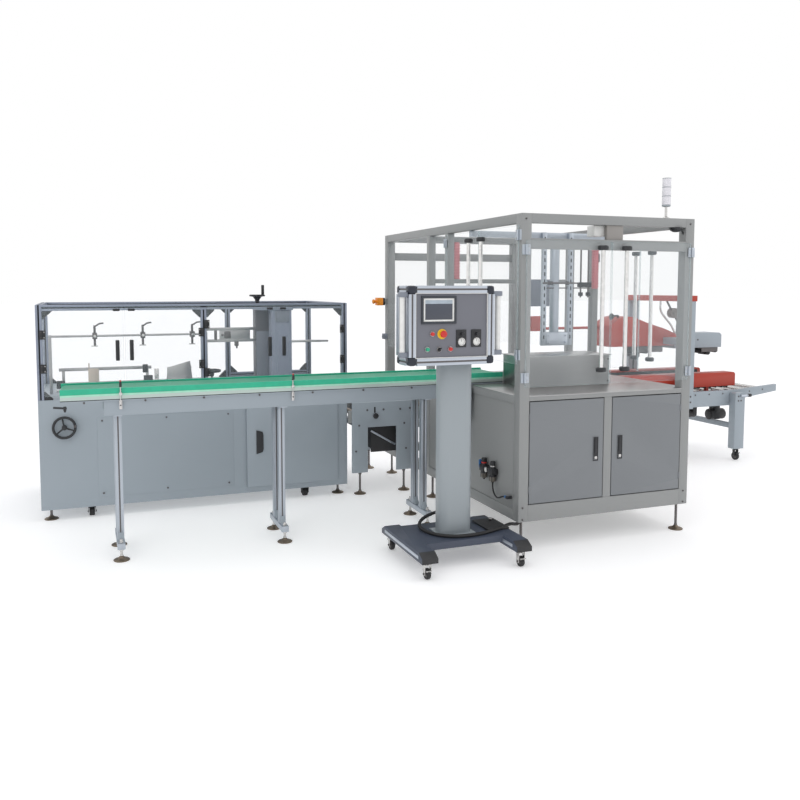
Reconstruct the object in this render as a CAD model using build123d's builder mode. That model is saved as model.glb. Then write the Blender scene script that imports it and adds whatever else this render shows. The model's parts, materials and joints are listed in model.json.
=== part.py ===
from build123d import *
from math import radians, tan
import os

# Side load case packer: one linked line of case erector, infeed conveyor, packer frame,
# case sealer and control console. Millimetres, +Z up, floor at Z 0.
# +X runs with the products from the erector end to the sealer end, +Y away from the operator.
# The origin is the centre of the packer's front left levelling foot, on the floor.

os.makedirs("parts", exist_ok=True)

# Packer frame and cabinet
frame_width = 1243
frame_depth = 2240
frame_height = 2000
post = 65
foot_inset = 45
base_height = 175
table_height = 930
table_sheet = 5
beam = 55
cabinet_depth = 1370
mid_post = 50
cross_rail = 45
panel_thickness = 20
panel_inset = 5
bottom_rail_height = 100
top_rail_height = 25
header_bottom = 1795
header_height = 62
header_depth = 40
side_rail_height = 65
side_top_rail = 45
lane_guard_low = 1080
latch_inset = 55
latch_width = 34
latch_low = 510
latch_high = 658
latch_proud = 4
tower_x = 1000
tower_pole_radius = 8
tower_pole_top = 2072
tower_radius = 27
tower_top = 2250
stop_height = 1453
stop_bracket = 30
stop_bracket_height = 44
stop_box = 60
stop_box_height = 64
stop_lap = 4
stop_knob = 35
stop_knob_radius = 20
air_front = 208
air_length = 186
air_bowl_bottom = 352
air_bowl_inset = 35
air_bowl_radius = 21
air_body_low = 405
air_body_high = 445
air_knob_top = 490
mullion_width = 55
cabinet_door_gap = 6
cabinet_door_thickness = 22
knuckle_radius = 5.6
knuckle_length = 40
knuckle_inset = 90

# Clear sheets of the guards and their hinges
sheet = 8
seat_gap = 0.5
fit_gap = 0.3
door_lap = 35
leaf_gap = 8
guard_low = 985
guard_high = 1845
entry_low = 1120
entry_high = 1930
hinge_length = 60
hinge_radius = 6
hinge_plate = 22
hinge_leaf = 4
hinge_sink = 1
hinge_edge = 6.4
hinge_inset = 25
handle_radius = 12.5
handle_offset = 85
handle_low = 1060
handle_high = 1820
entry_handle_low = 1170
entry_handle_high = 1885
cap_length = 55
cap_width = 40
cap_height = 28
cap_round = 14

# Product pusher and lift over the table
pusher_left = 195
pusher_right = 835
pusher_front = 305
pusher_back = 590
pusher_top = 1125
pusher_lid = 5
pusher_lip = 10
lift_front = 640
lift_left = 520
lift_right = 762
lift_upright_width = 32
lift_upright_depth = 22
lift_low = 1170
lift_bar = 40
lift_rest = 20
lift_column_radius = 32
carriage_height = 90
carriage_depth = 80

# Levelling feet
foot_radius = 46
foot_rim = 5
foot_pad = 16
foot_neck = 15
foot_sides = 14
stem_sides = 8
stem_radius = 8

# Wheels and rollers
wheel_sides = 20
roller_sides = 12

# Infeed conveyor
conveyor_start = -2565
conveyor_end = 205
conveyor_front = 610
conveyor_width = 342
belt_top = 995
belt_thickness = 4
pulley_radius = 21
side_profile_width = 28
side_profile_top = 972
edge_strip_width = 20
edge_strip_top = 1003
side_plate_start = -2335
side_plate_end = -60
side_plate_bottom = 845
side_plate_thickness = 20
support_first = -2260
support_pitch = 962
support_count = 3
upright_width = 40
upright_spacing = 145
cross_bar_bottom = 66
cross_bar_height = 36
cross_bar_width = 44
support_foot_inset = 22
support_inset = 12
support_head = 6
sensor_first = -2245
sensor_pitch = 1000
sensor_width = 16
sensor_depth = 8
sensor_low = 880
sensor_high = 1050
sensor_head = 18
sensor_eye_low = 1010
sensor_eye_high = 1045
gear_left = -160
gear_right = -65
gear_reach = 70
gear_low = 840
gear_high = 925
gear_guard_low = 690
gear_guard_depth = 60
gear_slant = 28

# Case erector
erector_left = -2725
erector_length = 2154
erector_reach = 145
erector_depth = 1050
erector_table = 820
erector_bottom = 75
erector_top = 1455
profile = 40
rail = 36
near_middle_post = -1651
far_middle_post = -1310
erector_guard_low = 845
erector_bay_depth = 620
erector_door_left = -1329
erector_door_right = -663
erector_door_bottom = 130
erector_door_top = 692
erector_door_thickness = 20
door_border = 10
door_latch_inset = 70
door_latch_width = 40
door_latch_proud = 8
door_latch_low = 375
door_latch_high = 520
erector_guard_high = 1440
erector_plate = 15
small_handle_inset = 38
small_handle_low = 985
small_handle_high = 1135
cover_left = -2358
cover_right = -1434
cover_bottom = 138
cover_top = 688
cover_thickness = 3
erector_foot_inset = 60
erector_caster_inset = 320
erector_caster_radius = 30
erector_caster_width = 22

# Handwheel on the erector's front
wheel_x = -2566
wheel_z = 634
wheel_boss = 22
wheel_thickness = 12
wheel_radius = 78
wheel_hub_radius = 12
wheel_window_offset = 42
wheel_window_radius = 20
wheel_grip_offset = 60
wheel_grip_radius = 9
wheel_grip_length = 40

# Case magazine and forming tower over the erector's table
magazine_left = -2660
magazine_right = -1560
magazine_post = 20
magazine_rod_inset = 340
magazine_rod_height = 1225
magazine_rod_radius = 8
magazine_clamps = (-2353, -2023, -1670)
clamp_width = 24
clamp_depth = 60
clamp_height = 40
magazine_front_inset = 225
magazine_back_inset = 435
magazine_low_rail = 897
magazine_high_rail = 979
magazine_rail_inset = 60
magazine_rail_length = 640
magazine_rail_height = 22
clamp_bar = 62
clamp_bar_radius = 5
guide_left = -2398
guide_width = 66
guide_thickness = 6
guide_top = 989
stop_plate_left = -1865
stop_plate_right = -1675
stop_plate_peak = -1700
stop_plate_top = 1034
stop_plate_low = 988
tower_left = -1170
tower_rear_width = 120
tower_rear_inset = 455
tower_front_x = -1090
tower_right = -935
tower_front_inset = 245
tower_depth = 100
tower_lip = 10
tower_head = 1398
tower_cap = 16
tower_wheel_x = -1144
tower_wheel_height = 1500
tower_wheel_thickness = 12
tower_wheel_radius = 60
tower_shaft_radius = 8
tower_grip_top = 1590
arm_left = -1560
arm_depth = 60
arm_low_bar = 1150
arm_high_bar = 1240
arm_bar = 20
arm_box_left = -1440
arm_box_right = -1210
arm_plate_point = 110
arm_plate_right = -640
arm_plate_depth = 80
arm_plate_height = 1156
arm_plate_thickness = 14

# Case lane between erector, packer and sealer
lane_reach = 190
lane_width = 510
transfer_width = 810
lane_top = 640
lane_plate_height = 95
lane_rest_height = 40
lane_plate_thickness = 16
roller_radius = 20
roller_drop = 30
roller_pitch = 130
transfer_plate_thickness = 16
transfer_left = -545
transfer_right = -60
transfer_leg = 125
transfer_tie = 40
transfer_plate_top = 700
transfer_plate_bottom = 162
transfer_opening_top = 508

# Case sealer
sealer_start = 1380
sealer_end = 3177
sealer_reach = 200
sealer_width = 700
sealer_bed_bottom = 500
sealer_bed_top = 640
sealer_plate = 30
sealer_cross_width = 40
outlet_end = 3620
outlet_low = 609
outlet_high = 671
outlet_root = 560
outlet_flat = 3240
sealer_roller_inset = 60
sealer_roller_pitch = 155
sealer_roller_radius = 22
sealer_leg_width = 110
sealer_leg_depth = 75
sealer_leg_bottom = 108
sealer_leg_inset = 80
sealer_leg_top = 622
sealer_leg_round = 18
sealer_tie_low = 285
sealer_tie_high = 330
sealer_caster_radius = 38
sealer_caster_width = 24
mast_x = 2490
mast_width = 105
mast_depth = 70
mast_top = 1448
crossbar_height = 50
crossbar_lap = 15
drive_start = 1500
drive_end = 3190
drive_inset = 65
drive_width = 120
drive_bottom = 670
drive_top = 795
drive_round = 25
drive_bracket = 30
head_start = 2300
head_end = 3190
head_bottom = 1012
head_top = 1148
head_width = 200
head_chamfer = 20
head_arm_low = 1060
head_arm_high = 1120
cover_start = 1925
cover_end = 2648
cover_width = 260
cover_low = 1045
cover_profile = [(1925, 1230), (2020, 1296), (2110, 1312), (2290, 1262), (2510, 1196), (2648, 1138)]
tip_left = 1220
tip_right = 1360
tip_low = 1190
tip_high = 1320
tip_width = 60
tip_rod_height = 1210
tip_rod_radius = 12

# Control console on its wheeled stand
stand_x = -445
stand_front = -315
stand_back = 305
stand_width = 575
stand_rail_width = 95
stand_rail_bottom = 95
stand_rail_height = 55
stand_slant = 50
stand_nose = 28
stand_plate_thickness = 40
stand_plate_front = -150
stand_plate_back = 225
column_round = 55
stand_caster_inset = 45
stand_caster_radius = 30
stand_caster_width = 22
column_width = 200
column_depth = 135
column_y = 15
console_width = 645
console_height = 425
console_depth = 190
console_bottom = 1155
console_front = -145
console_bar = 40
panel_recess = 12

# Console cable and air hose, each from its first fitting to its last
cable_radius = 10
gland_radius = 15
cable_route = [
    (-400, 98, 240), (-400, 150, 240), (-438, 194, 226), (-492, 215, 208), (-550, 206, 190),
    (-594, 168, 174), (-613, 110, 163), (-607, 45, 160.2), (-583, -22, 160.2), (-538, -80, 160.2),
    (-470, -111, 160.2), (-394, -118, 160.2), (-315, -107, 160.2), (-236, -84, 161), (-160, -54, 162),
    (-98, -12, 162), (-46, 32, 150), (0, 70, 131), (43, 107, 120), (81, 139, 130), (105, 160, 159),
    (105, 160, 205),
]
hose_radius = 5
hose_route = [
    (-63, 243, 352), (-63, 243, 324), (-64, 229, 297), (-66, 204, 281), (-69, 173, 277), (-71, 142, 284),
    (-71, 112, 297), (-69, 84, 307), (-69, 59, 307),
]

# What follows from the sizes above
stand_top = stand_rail_bottom + stand_rail_height
left = -foot_inset
right = left + frame_width
front = -foot_inset
back = front + frame_depth
inner_left = left + post
inner_right = right - post
inner_front = front + post
inner_back = back - post
bay_middle = (front + cabinet_depth + back) / 2
beam_bottom = frame_height - beam
cabinet_back = front + cabinet_depth
mid_post_front = cabinet_back - mid_post
table_rail_top = table_height - table_sheet
cross_bar_top = cross_bar_bottom + cross_bar_height
side_rail_top = base_height + side_rail_height
side_rail_low = table_rail_top - side_top_rail
door_low = base_height + bottom_rail_height
door_high = table_rail_top - top_rail_height
middle_x = (left + right) / 2
conveyor_back = conveyor_front + conveyor_width
side_profile_bottom = table_height
conveyor_middle = conveyor_front + conveyor_width / 2
erector_right = erector_left + erector_length
erector_front = bay_middle - erector_reach
erector_back = erector_front + erector_depth
magazine_rod_y = erector_front + magazine_rod_inset
magazine_rail_front = erector_front + magazine_front_inset
magazine_rail_back = erector_front + magazine_back_inset
tower_rear_y = erector_front + tower_rear_inset
tower_front_y = erector_front + tower_front_inset
sealer_front = bay_middle - sealer_reach
sealer_back = sealer_front + sealer_width
sealer_middle = (sealer_front + sealer_back) / 2
lane_front = bay_middle - lane_reach
lane_far = lane_front + transfer_width
lane_rail_back = lane_front + lane_width
lane_rail_front = lane_front + transfer_plate_thickness
lane_low = lane_top - lane_plate_height
lane_start = erector_right
lane_end = sealer_start
leaf_face = hinge_radius - hinge_sink
hinge_reach = leaf_face + sheet + seat_gap
entry_post_front = conveyor_back + 8

def block(x0, x1, y0, y1, z0, z1, mode=Mode.ADD):
    """Add a box between two corners to the piece being made."""
    with Locations(((x0 + x1) / 2, (y0 + y1) / 2, (z0 + z1) / 2)):
        Box(abs(x1 - x0), abs(y1 - y0), abs(z1 - z0), mode=mode)


def upright(x, y, z0, z1, radius):
    """Add a standing round bar."""
    with Locations((x, y, (z0 + z1) / 2)):
        Cylinder(radius, z1 - z0)


def rod_x(x0, x1, y, z, radius):
    """Add a round bar along X."""
    with Locations(Location(((x0 + x1) / 2, y, z), (0, 90, 0))):
        Cylinder(radius, x1 - x0)


def rod_y(x, y0, y1, z, radius):
    """Add a round bar along Y."""
    with Locations(Location((x, (y0 + y1) / 2, z), (90, 0, 0))):
        Cylinder(radius, y1 - y0)


def facet_bar(plane, radius, length, sides):
    """Add a round bar of few sides, for what repeats many times, along the plane's normal."""
    with BuildSketch(plane) as outline:
        RegularPolygon(radius, sides)
    extrude(outline.sketch, amount=length)


def facet_cone(x, y, low, high, low_radius, high_radius):
    """Add a standing cone of few sides."""
    sections = []
    for z, radius in ((low, low_radius), (high, high_radius)):
        with BuildSketch(Plane((x, y, z))) as outline:
            RegularPolygon(radius, foot_sides)
        sections.append(outline.sketch.face())
    loft(sections=sections, ruled=True)


def levelling_foot(x, y, top):
    """Add a screwed stem standing in a bell-shaped pad."""
    facet_bar(Plane((x, y, 0)), foot_radius, foot_rim, foot_sides)
    facet_cone(x, y, foot_rim, foot_pad, foot_radius, foot_neck)
    facet_bar(Plane((x, y, foot_pad)), stem_radius, top - foot_pad, stem_sides)


def caster(x, y, top, radius, width):
    """Add a swivel caster: plate, fork and wheel, joined at the axle."""
    block(x - 28, x + 28, y - 28, y + 28, top - 5, top)
    block(x - width, x + width, y - 16, y + 16, 2 * radius + 3, top - 5)
    for side in (-1, 1):
        block(x + side * width, x + side * (width - 5), y - 12, y + 12, radius * 0.8, 2 * radius + 3)
    facet_bar(Plane((x - width, y, radius), z_dir=(1, 0, 0)), radius * 0.25, 2 * width, stem_sides)
    facet_bar(Plane((x - width / 2, y, radius), x_dir=(0, 0, 1), z_dir=(1, 0, 0)), radius, width, wheel_sides)


def hinge_fixed(x, y, z, turn, side, plate):
    """Add the post half of a guard hinge. Local +X runs along the leaf, -Y outward."""
    with Locations(Location((x, y, z), (0, 0, turn))):
        Cylinder(hinge_radius, hinge_length, align=(Align.CENTER, Align.CENTER, Align.MIN))
        with Locations((-side * plate / 2, (leaf_face + hinge_reach) / 2, hinge_length / 2)):
            Box(plate, hinge_reach - leaf_face, hinge_length)


def guard_leaf(x, y, low, high, width, turn, side, plate):
    """Add a clear sheet with its two hinge plates, placed by the hinge axis."""
    with Locations(Location((x, y, 0), (0, 0, turn))):
        with Locations((side * (hinge_edge + width / 2), leaf_face + sheet / 2, (low + high) / 2)):
            Box(width, sheet, high - low)
        for z in (low + hinge_inset, high - hinge_inset - hinge_length):
            centre = (side * (hinge_edge + plate / 2), leaf_face - hinge_leaf / 2, z + hinge_length / 2)
            with Locations(centre):
                Box(plate, hinge_leaf, hinge_length)


def pull_handle(x, y, low, high, turn, side, along):
    """Add a long bar handle on its two oval caps, placed by the hinge axis."""
    with Locations(Location((x, y, 0), (0, 0, turn))):
        with Locations((side * along, leaf_face - cap_length / 2, (low + high) / 2)):
            Cylinder(handle_radius, high - low - 2 * cap_height)
        for z in (low + cap_height / 2, high - cap_height / 2):
            with Locations((side * along, leaf_face - cap_length / 2, z)):
                Box(cap_width, cap_length, cap_height)


def save(piece, name):
    """Name a finished piece and write it."""
    piece.part.label = name
    export_step(piece.part, f"parts/{name}.step")


# Packer frame
with BuildPart() as packer_posts:
    for x in (left, inner_right):
        for y in (front, inner_back):
            block(x, x + post, y, y + post, base_height, frame_height)
    for x in (left, right - mid_post):
        block(x, x + mid_post, mid_post_front, cabinet_back, base_height, beam_bottom)
        block(x, x + mid_post, entry_post_front, entry_post_front + mid_post, table_height, beam_bottom)
save(packer_posts, "packer_posts")

with BuildPart() as packer_rails:
    for y in (front, back - beam):
        block(inner_left, inner_right, y, y + beam, beam_bottom, frame_height)
    for x in (left, right - beam):
        block(x, x + beam, inner_front, inner_back, beam_bottom, frame_height)
    block(inner_left, inner_right, front, front + header_depth, header_bottom, header_bottom + header_height)
    block(inner_left, inner_right, back - header_depth, back, header_bottom, header_bottom + header_height)
save(packer_rails, "packer_rails")

with BuildPart() as cabinet_rails:
    block(inner_left, inner_right, front, inner_front, base_height, door_low)
    block(inner_left, inner_right, front, inner_front, door_high, table_rail_top)
    mullion_left = middle_x - mullion_width / 2
    mullion_right = middle_x + mullion_width / 2
    block(mullion_left, mullion_right, front, inner_front, door_low + fit_gap, door_high - fit_gap)
    for x in (left, right - mid_post):
        block(x, x + mid_post, inner_front, mid_post_front, base_height, side_rail_top)
        block(x, x + mid_post, inner_front, mid_post_front, side_rail_low, table_rail_top)
        block(x, x + mid_post, cabinet_back, inner_back, base_height, side_rail_top)
        block(x, x + mid_post, cabinet_back, inner_back, lane_low - lane_rest_height, lane_low)
    cross_front = cabinet_back - cross_rail
    block(left + mid_post, right - mid_post, cross_front, cabinet_back, base_height, side_rail_top)
    block(left + mid_post, right - mid_post, cross_front, cabinet_back, side_rail_low, table_rail_top)
    block(inner_left, inner_right, inner_back, back, base_height, side_rail_top)
save(cabinet_rails, "cabinet_rails")

with BuildPart() as cabinet_panels:
    for x in (left + panel_inset, right - panel_inset - panel_thickness):
        block(x, x + panel_thickness, inner_front, mid_post_front, side_rail_top, side_rail_low)
    panel_back = cabinet_back - panel_inset
    block(left + mid_post, right - mid_post, panel_back - panel_thickness, panel_back, side_rail_top, side_rail_low)
    floor_low = side_rail_top - panel_thickness
    block(left + mid_post, right - mid_post, inner_front, cross_front, floor_low, side_rail_top)
    upright(cable_route[-1][0], cable_route[-1][1], cable_route[-1][2], floor_low, gland_radius)
save(cabinet_panels, "cabinet_panels")

with BuildPart() as tabletop:
    with BuildSketch(Plane.XY.offset(table_rail_top)):
        with Locations((middle_x, (front + cabinet_back) / 2)):
            Rectangle(frame_width, cabinet_depth)
        with Locations((left + post / 2, front + post / 2), (right - post / 2, front + post / 2)):
            Rectangle(post, post, mode=Mode.SUBTRACT)
        with Locations((left + mid_post / 2, cabinet_back - mid_post / 2)):
            Rectangle(mid_post, mid_post, mode=Mode.SUBTRACT)
        with Locations((right - mid_post / 2, cabinet_back - mid_post / 2)):
            Rectangle(mid_post, mid_post, mode=Mode.SUBTRACT)
    extrude(amount=table_sheet)
save(tabletop, "tabletop")

for name, side in (("cabinet_door_left", -1), ("cabinet_door_right", 1)):
    with BuildPart() as cabinet_door:
        hinge_x = middle_x + side * (frame_width / 2 - post - cabinet_door_gap)
        free_x = middle_x + side * (mullion_width / 2 + cabinet_door_gap)
        door_top = door_high - cabinet_door_gap
        block(hinge_x, free_x, front, front + cabinet_door_thickness, door_low + cabinet_door_gap, door_top)
        for z in (door_low + knuckle_inset, door_top - knuckle_inset):
            upright(hinge_x, front, z - knuckle_length / 2, z + knuckle_length / 2, knuckle_radius)
        latch_x = free_x + side * latch_inset
        block(latch_x - latch_width / 2, latch_x + latch_width / 2, front - latch_proud, front, latch_low, latch_high)
    save(cabinet_door, name)

# Guards of the packer
front_axis_y = front - hinge_reach
front_axis_left = inner_left - door_lap - hinge_edge
front_axis_right = inner_right + door_lap + hinge_edge
front_leaf_width = middle_x - leaf_gap / 2 - front_axis_left - hinge_edge
side_axis_x = right + hinge_reach
entry_axis_x = left - hinge_reach
side_axis_front = inner_front - door_lap - hinge_edge
side_axis_rear = entry_post_front + mid_post - hinge_plate
side_leaf_width = (side_axis_rear - side_axis_front - leaf_gap) / 2 - hinge_edge

for name, axis_x, side in (("left", front_axis_left, 1), ("right", front_axis_right, -1)):
    with BuildPart() as guard_door:
        guard_leaf(axis_x, front_axis_y, guard_low, guard_high, front_leaf_width, 0, side, hinge_plate)
    save(guard_door, f"guard_door_{name}")
    with BuildPart() as guard_handle:
        along = abs(middle_x - axis_x) - handle_offset
        pull_handle(axis_x, front_axis_y, handle_low, handle_high, 0, side, along)
        fillet(guard_handle.edges().filter_by(Axis.Z).filter_by(GeomType.LINE).group_by(SortBy.LENGTH)[0], cap_round)
    save(guard_handle, f"guard_handle_{name}")

side_middle = (side_axis_front + side_axis_rear) / 2
for name, axis_y, side in (("front", side_axis_front, 1), ("rear", side_axis_rear, -1)):
    along = abs(side_middle - axis_y) - handle_offset
    with BuildPart() as side_door:
        guard_leaf(side_axis_x, axis_y, guard_low, guard_high, side_leaf_width, 90, side, hinge_plate)
        pull_handle(side_axis_x, axis_y, handle_low, handle_high, 90, side, along)
    save(side_door, f"side_door_{name}")
    with BuildPart() as entry_door:
        guard_leaf(entry_axis_x, axis_y, entry_low, entry_high, side_leaf_width, -90, -side, hinge_plate)
        pull_handle(entry_axis_x, axis_y, entry_handle_low, entry_handle_high, -90, -side, along)
    save(entry_door, f"entry_door_{name}")

with BuildPart() as packer_hinges:
    for axis_x, side in ((front_axis_left, 1), (front_axis_right, -1)):
        for z in (guard_low + hinge_inset, guard_high - hinge_inset - hinge_length):
            hinge_fixed(axis_x, front_axis_y, z, 0, side, hinge_plate)
    for axis_y, side in ((side_axis_front, 1), (side_axis_rear, -1)):
        for z in (guard_low + hinge_inset, guard_high - hinge_inset - hinge_length):
            hinge_fixed(side_axis_x, axis_y, z, 90, side, hinge_plate)
        for z in (entry_low + hinge_inset, entry_high - hinge_inset - hinge_length):
            hinge_fixed(entry_axis_x, axis_y, z, -90, -side, hinge_plate)
save(packer_hinges, "packer_hinges")

with BuildPart() as fixed_guards:
    for x in (left, right - sheet):
        block(x, x + sheet, entry_post_front + mid_post, mid_post_front, table_height, beam_bottom)
        block(x, x + sheet, cabinet_back, inner_back, lane_guard_low, beam_bottom)
    block(inner_left, inner_right, back - sheet, back, lane_guard_low, header_bottom)
save(fixed_guards, "fixed_guards")

with BuildPart() as levelling_feet:
    for x in (0, right - foot_inset):
        for y in (0, cabinet_back - mid_post / 2, back - foot_inset):
            levelling_foot(x, y, base_height)
    for x in (erector_left + erector_foot_inset, erector_right - erector_foot_inset):
        for y in (erector_front + erector_foot_inset, erector_back - erector_foot_inset):
            levelling_foot(x, y, erector_bottom)
    for x in (transfer_left + transfer_leg / 2, transfer_right - transfer_leg / 2):
        for y in (lane_front + transfer_plate_thickness / 2, lane_far + transfer_plate_thickness / 2):
            levelling_foot(x, y, transfer_plate_bottom)
save(levelling_feet, "levelling_feet")

with BuildPart() as signal_tower:
    upright(tower_x, front + post / 2, frame_height, tower_pole_top, tower_pole_radius)
    upright(tower_x, front + post / 2, tower_pole_top, tower_top, tower_radius)
save(signal_tower, "signal_tower")

with BuildPart() as stop_switch:
    bracket_half = stop_bracket_height / 2
    box_half = stop_box_height / 2
    box_right = left - stop_bracket
    box_left = box_right - stop_box
    block(box_right, left, back - post, back, stop_height - bracket_half, stop_height + bracket_half)
    block(box_left, box_right, back - post - stop_lap, back + stop_lap, stop_height - box_half, stop_height + box_half)
    rod_x(box_left - stop_knob, box_left, back - post / 2, stop_height, stop_knob_radius)
save(stop_switch, "stop_switch")

with BuildPart() as air_unit:
    unit_x = left + panel_inset
    block(unit_x - 45, unit_x, air_front, air_front + air_length, air_body_low, air_body_high)
    for y in (air_front + air_bowl_inset, air_front + air_length - air_bowl_inset):
        upright(unit_x - 23, y, air_bowl_bottom, air_body_low, air_bowl_radius)
        upright(unit_x - 23, y, air_body_high, air_knob_top, air_bowl_radius - 4)
    fitting_x, fitting_y, fitting_z = hose_route[-1]
    rod_y(fitting_x, fitting_y - 22, fitting_y, fitting_z, hose_radius + 3)
    rod_x(fitting_x, unit_x, fitting_y - 14, fitting_z, hose_radius + 2)
save(air_unit, "air_unit")

# Product pusher and lift over the table
with BuildPart() as pusher_housing:
    block(pusher_left, pusher_right, pusher_front, pusher_back, table_height, pusher_top)
    lid_left = pusher_left - pusher_lip
    lid_right = pusher_right + pusher_lip
    lid_back = pusher_back + pusher_lip
    block(lid_left, lid_right, pusher_front - pusher_lip, lid_back, pusher_top, pusher_top + pusher_lid)
save(pusher_housing, "pusher_housing")

with BuildPart() as product_lift:
    lift_back = lift_front + lift_upright_depth
    lift_top = beam_bottom - fit_gap
    bar_low = lift_top - lift_bar
    bar_front = lift_back + fit_gap
    bar_back = bar_front + lift_bar
    block(left + beam - lift_rest, right - beam + lift_rest, bar_front, bar_back, bar_low, lift_top)
    for x in (lift_left, lift_right - lift_upright_width):
        block(x, x + lift_upright_width, lift_front, lift_back, lift_low, lift_top)
    carriage_left = lift_left + lift_upright_width + fit_gap
    carriage_right = lift_right - lift_upright_width - fit_gap
    carriage_top = lift_low + carriage_height
    block(carriage_left, carriage_right, lift_front, lift_front + carriage_depth, lift_low, carriage_top)
    lift_middle = (lift_left + lift_right) / 2
    upright(lift_middle, bar_front + lift_bar / 2, carriage_top + fit_gap, bar_low - fit_gap, lift_column_radius)
save(product_lift, "product_lift")

# Infeed conveyor
with BuildPart() as conveyor_frame:
    for y in (conveyor_front, conveyor_back - side_profile_width):
        block(conveyor_start, conveyor_end, y, y + side_profile_width, side_profile_bottom, side_profile_top)
    belt_front = conveyor_front + side_profile_width
    belt_back = conveyor_back - side_profile_width
    bed_top = belt_top - belt_thickness - 1
    bed_start = conveyor_start + 2 * pulley_radius + 8
    bed_end = conveyor_end - 2 * pulley_radius - 8
    block(bed_start, bed_end, belt_front, belt_back, side_profile_bottom + 26, side_profile_top)
    for y in (conveyor_front + 12, conveyor_back - 12 - side_plate_thickness):
        block(side_plate_start, side_plate_end, y, y + side_plate_thickness, side_plate_bottom, side_profile_bottom)
    pulley_z = belt_top - belt_thickness - pulley_radius
    for x in (conveyor_start + belt_thickness + pulley_radius, conveyor_end - belt_thickness - pulley_radius):
        rod_y(x, belt_front, belt_back, pulley_z, pulley_radius - 0.3)
save(conveyor_frame, "conveyor_frame")

with BuildPart() as conveyor_belt:
    with BuildSketch(Plane.XZ.offset(-belt_back)):
        belt_centre = (conveyor_start + conveyor_end) / 2
        belt_length = conveyor_end - conveyor_start
        with Locations((belt_centre, belt_top - pulley_radius - belt_thickness)):
            SlotOverall(belt_length, 2 * (pulley_radius + belt_thickness))
            SlotOverall(belt_length - 2 * belt_thickness, 2 * pulley_radius, mode=Mode.SUBTRACT)
    extrude(amount=belt_back - belt_front)
save(conveyor_belt, "conveyor_belt")

with BuildPart() as edge_strips:
    for y in (conveyor_front, conveyor_back - edge_strip_width):
        block(conveyor_start, conveyor_end, y, y + edge_strip_width, side_profile_top, edge_strip_top)
save(edge_strips, "edge_strips")

support_places = [support_first + index * support_pitch for index in range(support_count)]
head_low = side_plate_bottom - support_head
with BuildPart() as conveyor_supports:
    for x in support_places:
        for y in (conveyor_middle - upright_spacing / 2, conveyor_middle + upright_spacing / 2):
            half = upright_width / 2
            block(x - half, x + half, y - half, y + half, cross_bar_top + fit_gap, head_low - fit_gap)
        half = cross_bar_width / 2
        block(x - half, x + half, conveyor_front, conveyor_back, cross_bar_bottom, cross_bar_top)
        near = conveyor_front + support_inset
        far = conveyor_back - support_inset
        block(x - half, x + half, near, far, head_low, side_plate_bottom)
        for y in (conveyor_front + support_foot_inset, conveyor_back - support_foot_inset):
            levelling_foot(x, y, cross_bar_bottom)
save(conveyor_supports, "conveyor_supports")

with BuildPart() as conveyor_drive:
    drive_y = conveyor_front - gear_reach
    block(gear_left, gear_right, drive_y, conveyor_front + 12, gear_low, gear_high)
    with BuildSketch(Plane.XZ.offset(-drive_y)):
        with BuildLine():
            Polyline(
                (gear_left + gear_slant, gear_guard_low), (gear_right - gear_slant, gear_guard_low),
                (gear_right, gear_low - fit_gap), (gear_left, gear_low - fit_gap),
                close=True,
            )
        make_face()
    extrude(amount=-gear_guard_depth)
save(conveyor_drive, "conveyor_drive")

with BuildPart() as product_sensors:
    for x in (sensor_first, sensor_first + sensor_pitch):
        half = sensor_width / 2
        post_front = conveyor_front - sensor_depth
        block(x - half, x + half, post_front, conveyor_front, sensor_low, sensor_high)
        block(x - half, x + half, post_front - sensor_head, post_front - fit_gap, sensor_eye_low, sensor_eye_high)
save(product_sensors, "product_sensors")

# Case erector
with BuildPart() as erector_cabinet:
    block(erector_left, erector_right, erector_front, erector_back, erector_bottom, erector_table)
    bay_left = erector_door_left + 4
    bay_right = erector_door_right - 4
    bay_back = erector_front + erector_bay_depth
    block(
        bay_left, bay_right, erector_front, bay_back,
        erector_door_bottom + 4, erector_door_top - 4, mode=Mode.SUBTRACT,
    )
    block(cover_left, cover_right, erector_front - cover_thickness, erector_front, cover_bottom, cover_top)
save(erector_cabinet, "erector_cabinet")

with BuildPart() as erector_door:
    door_front = erector_front - erector_door_thickness
    block(
        erector_door_left - door_border, erector_door_right + door_border, door_front, erector_front - seat_gap,
        erector_door_bottom - door_border, erector_door_top + door_border,
    )
    latch_left = erector_door_left + door_latch_inset
    latch_front = door_front - door_latch_proud
    block(latch_left, latch_left + door_latch_width, latch_front, door_front, door_latch_low, door_latch_high)
save(erector_door, "erector_door")

with BuildPart() as erector_posts:
    for x in (erector_left, erector_right - profile):
        for y in (erector_front, erector_back - profile):
            block(x, x + profile, y, y + profile, erector_table, erector_top)
    rail_low = erector_top - profile
    block(near_middle_post, near_middle_post + profile, erector_front, erector_front + profile, erector_table, rail_low)
    block(far_middle_post, far_middle_post + profile, erector_back - profile, erector_back, erector_table, rail_low)
save(erector_posts, "erector_posts")

with BuildPart() as erector_rails:
    for y in (erector_front, erector_back - rail):
        block(erector_left + profile, erector_right - profile, y, y + rail, rail_low, erector_top)
    for x in (erector_left, erector_right - rail):
        block(x, x + rail, erector_front + profile, erector_back - profile, rail_low, erector_top)
    foot_left = far_middle_post + profile
    foot_right = erector_right - profile
    block(foot_left, foot_right, erector_back - rail, erector_back, erector_table, erector_table + rail)
save(erector_rails, "erector_rails")

with BuildPart() as erector_sheets:
    sheet_back = erector_back - profile / 2
    block(
        erector_left + profile, far_middle_post, sheet_back - sheet / 2, sheet_back + sheet / 2,
        erector_table, rail_low,
    )
    end_x = erector_left + profile / 2
    block(
        end_x - sheet / 2, end_x + sheet / 2, erector_front + profile, erector_back - profile,
        erector_table, rail_low,
    )
save(erector_sheets, "erector_sheets")

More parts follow.
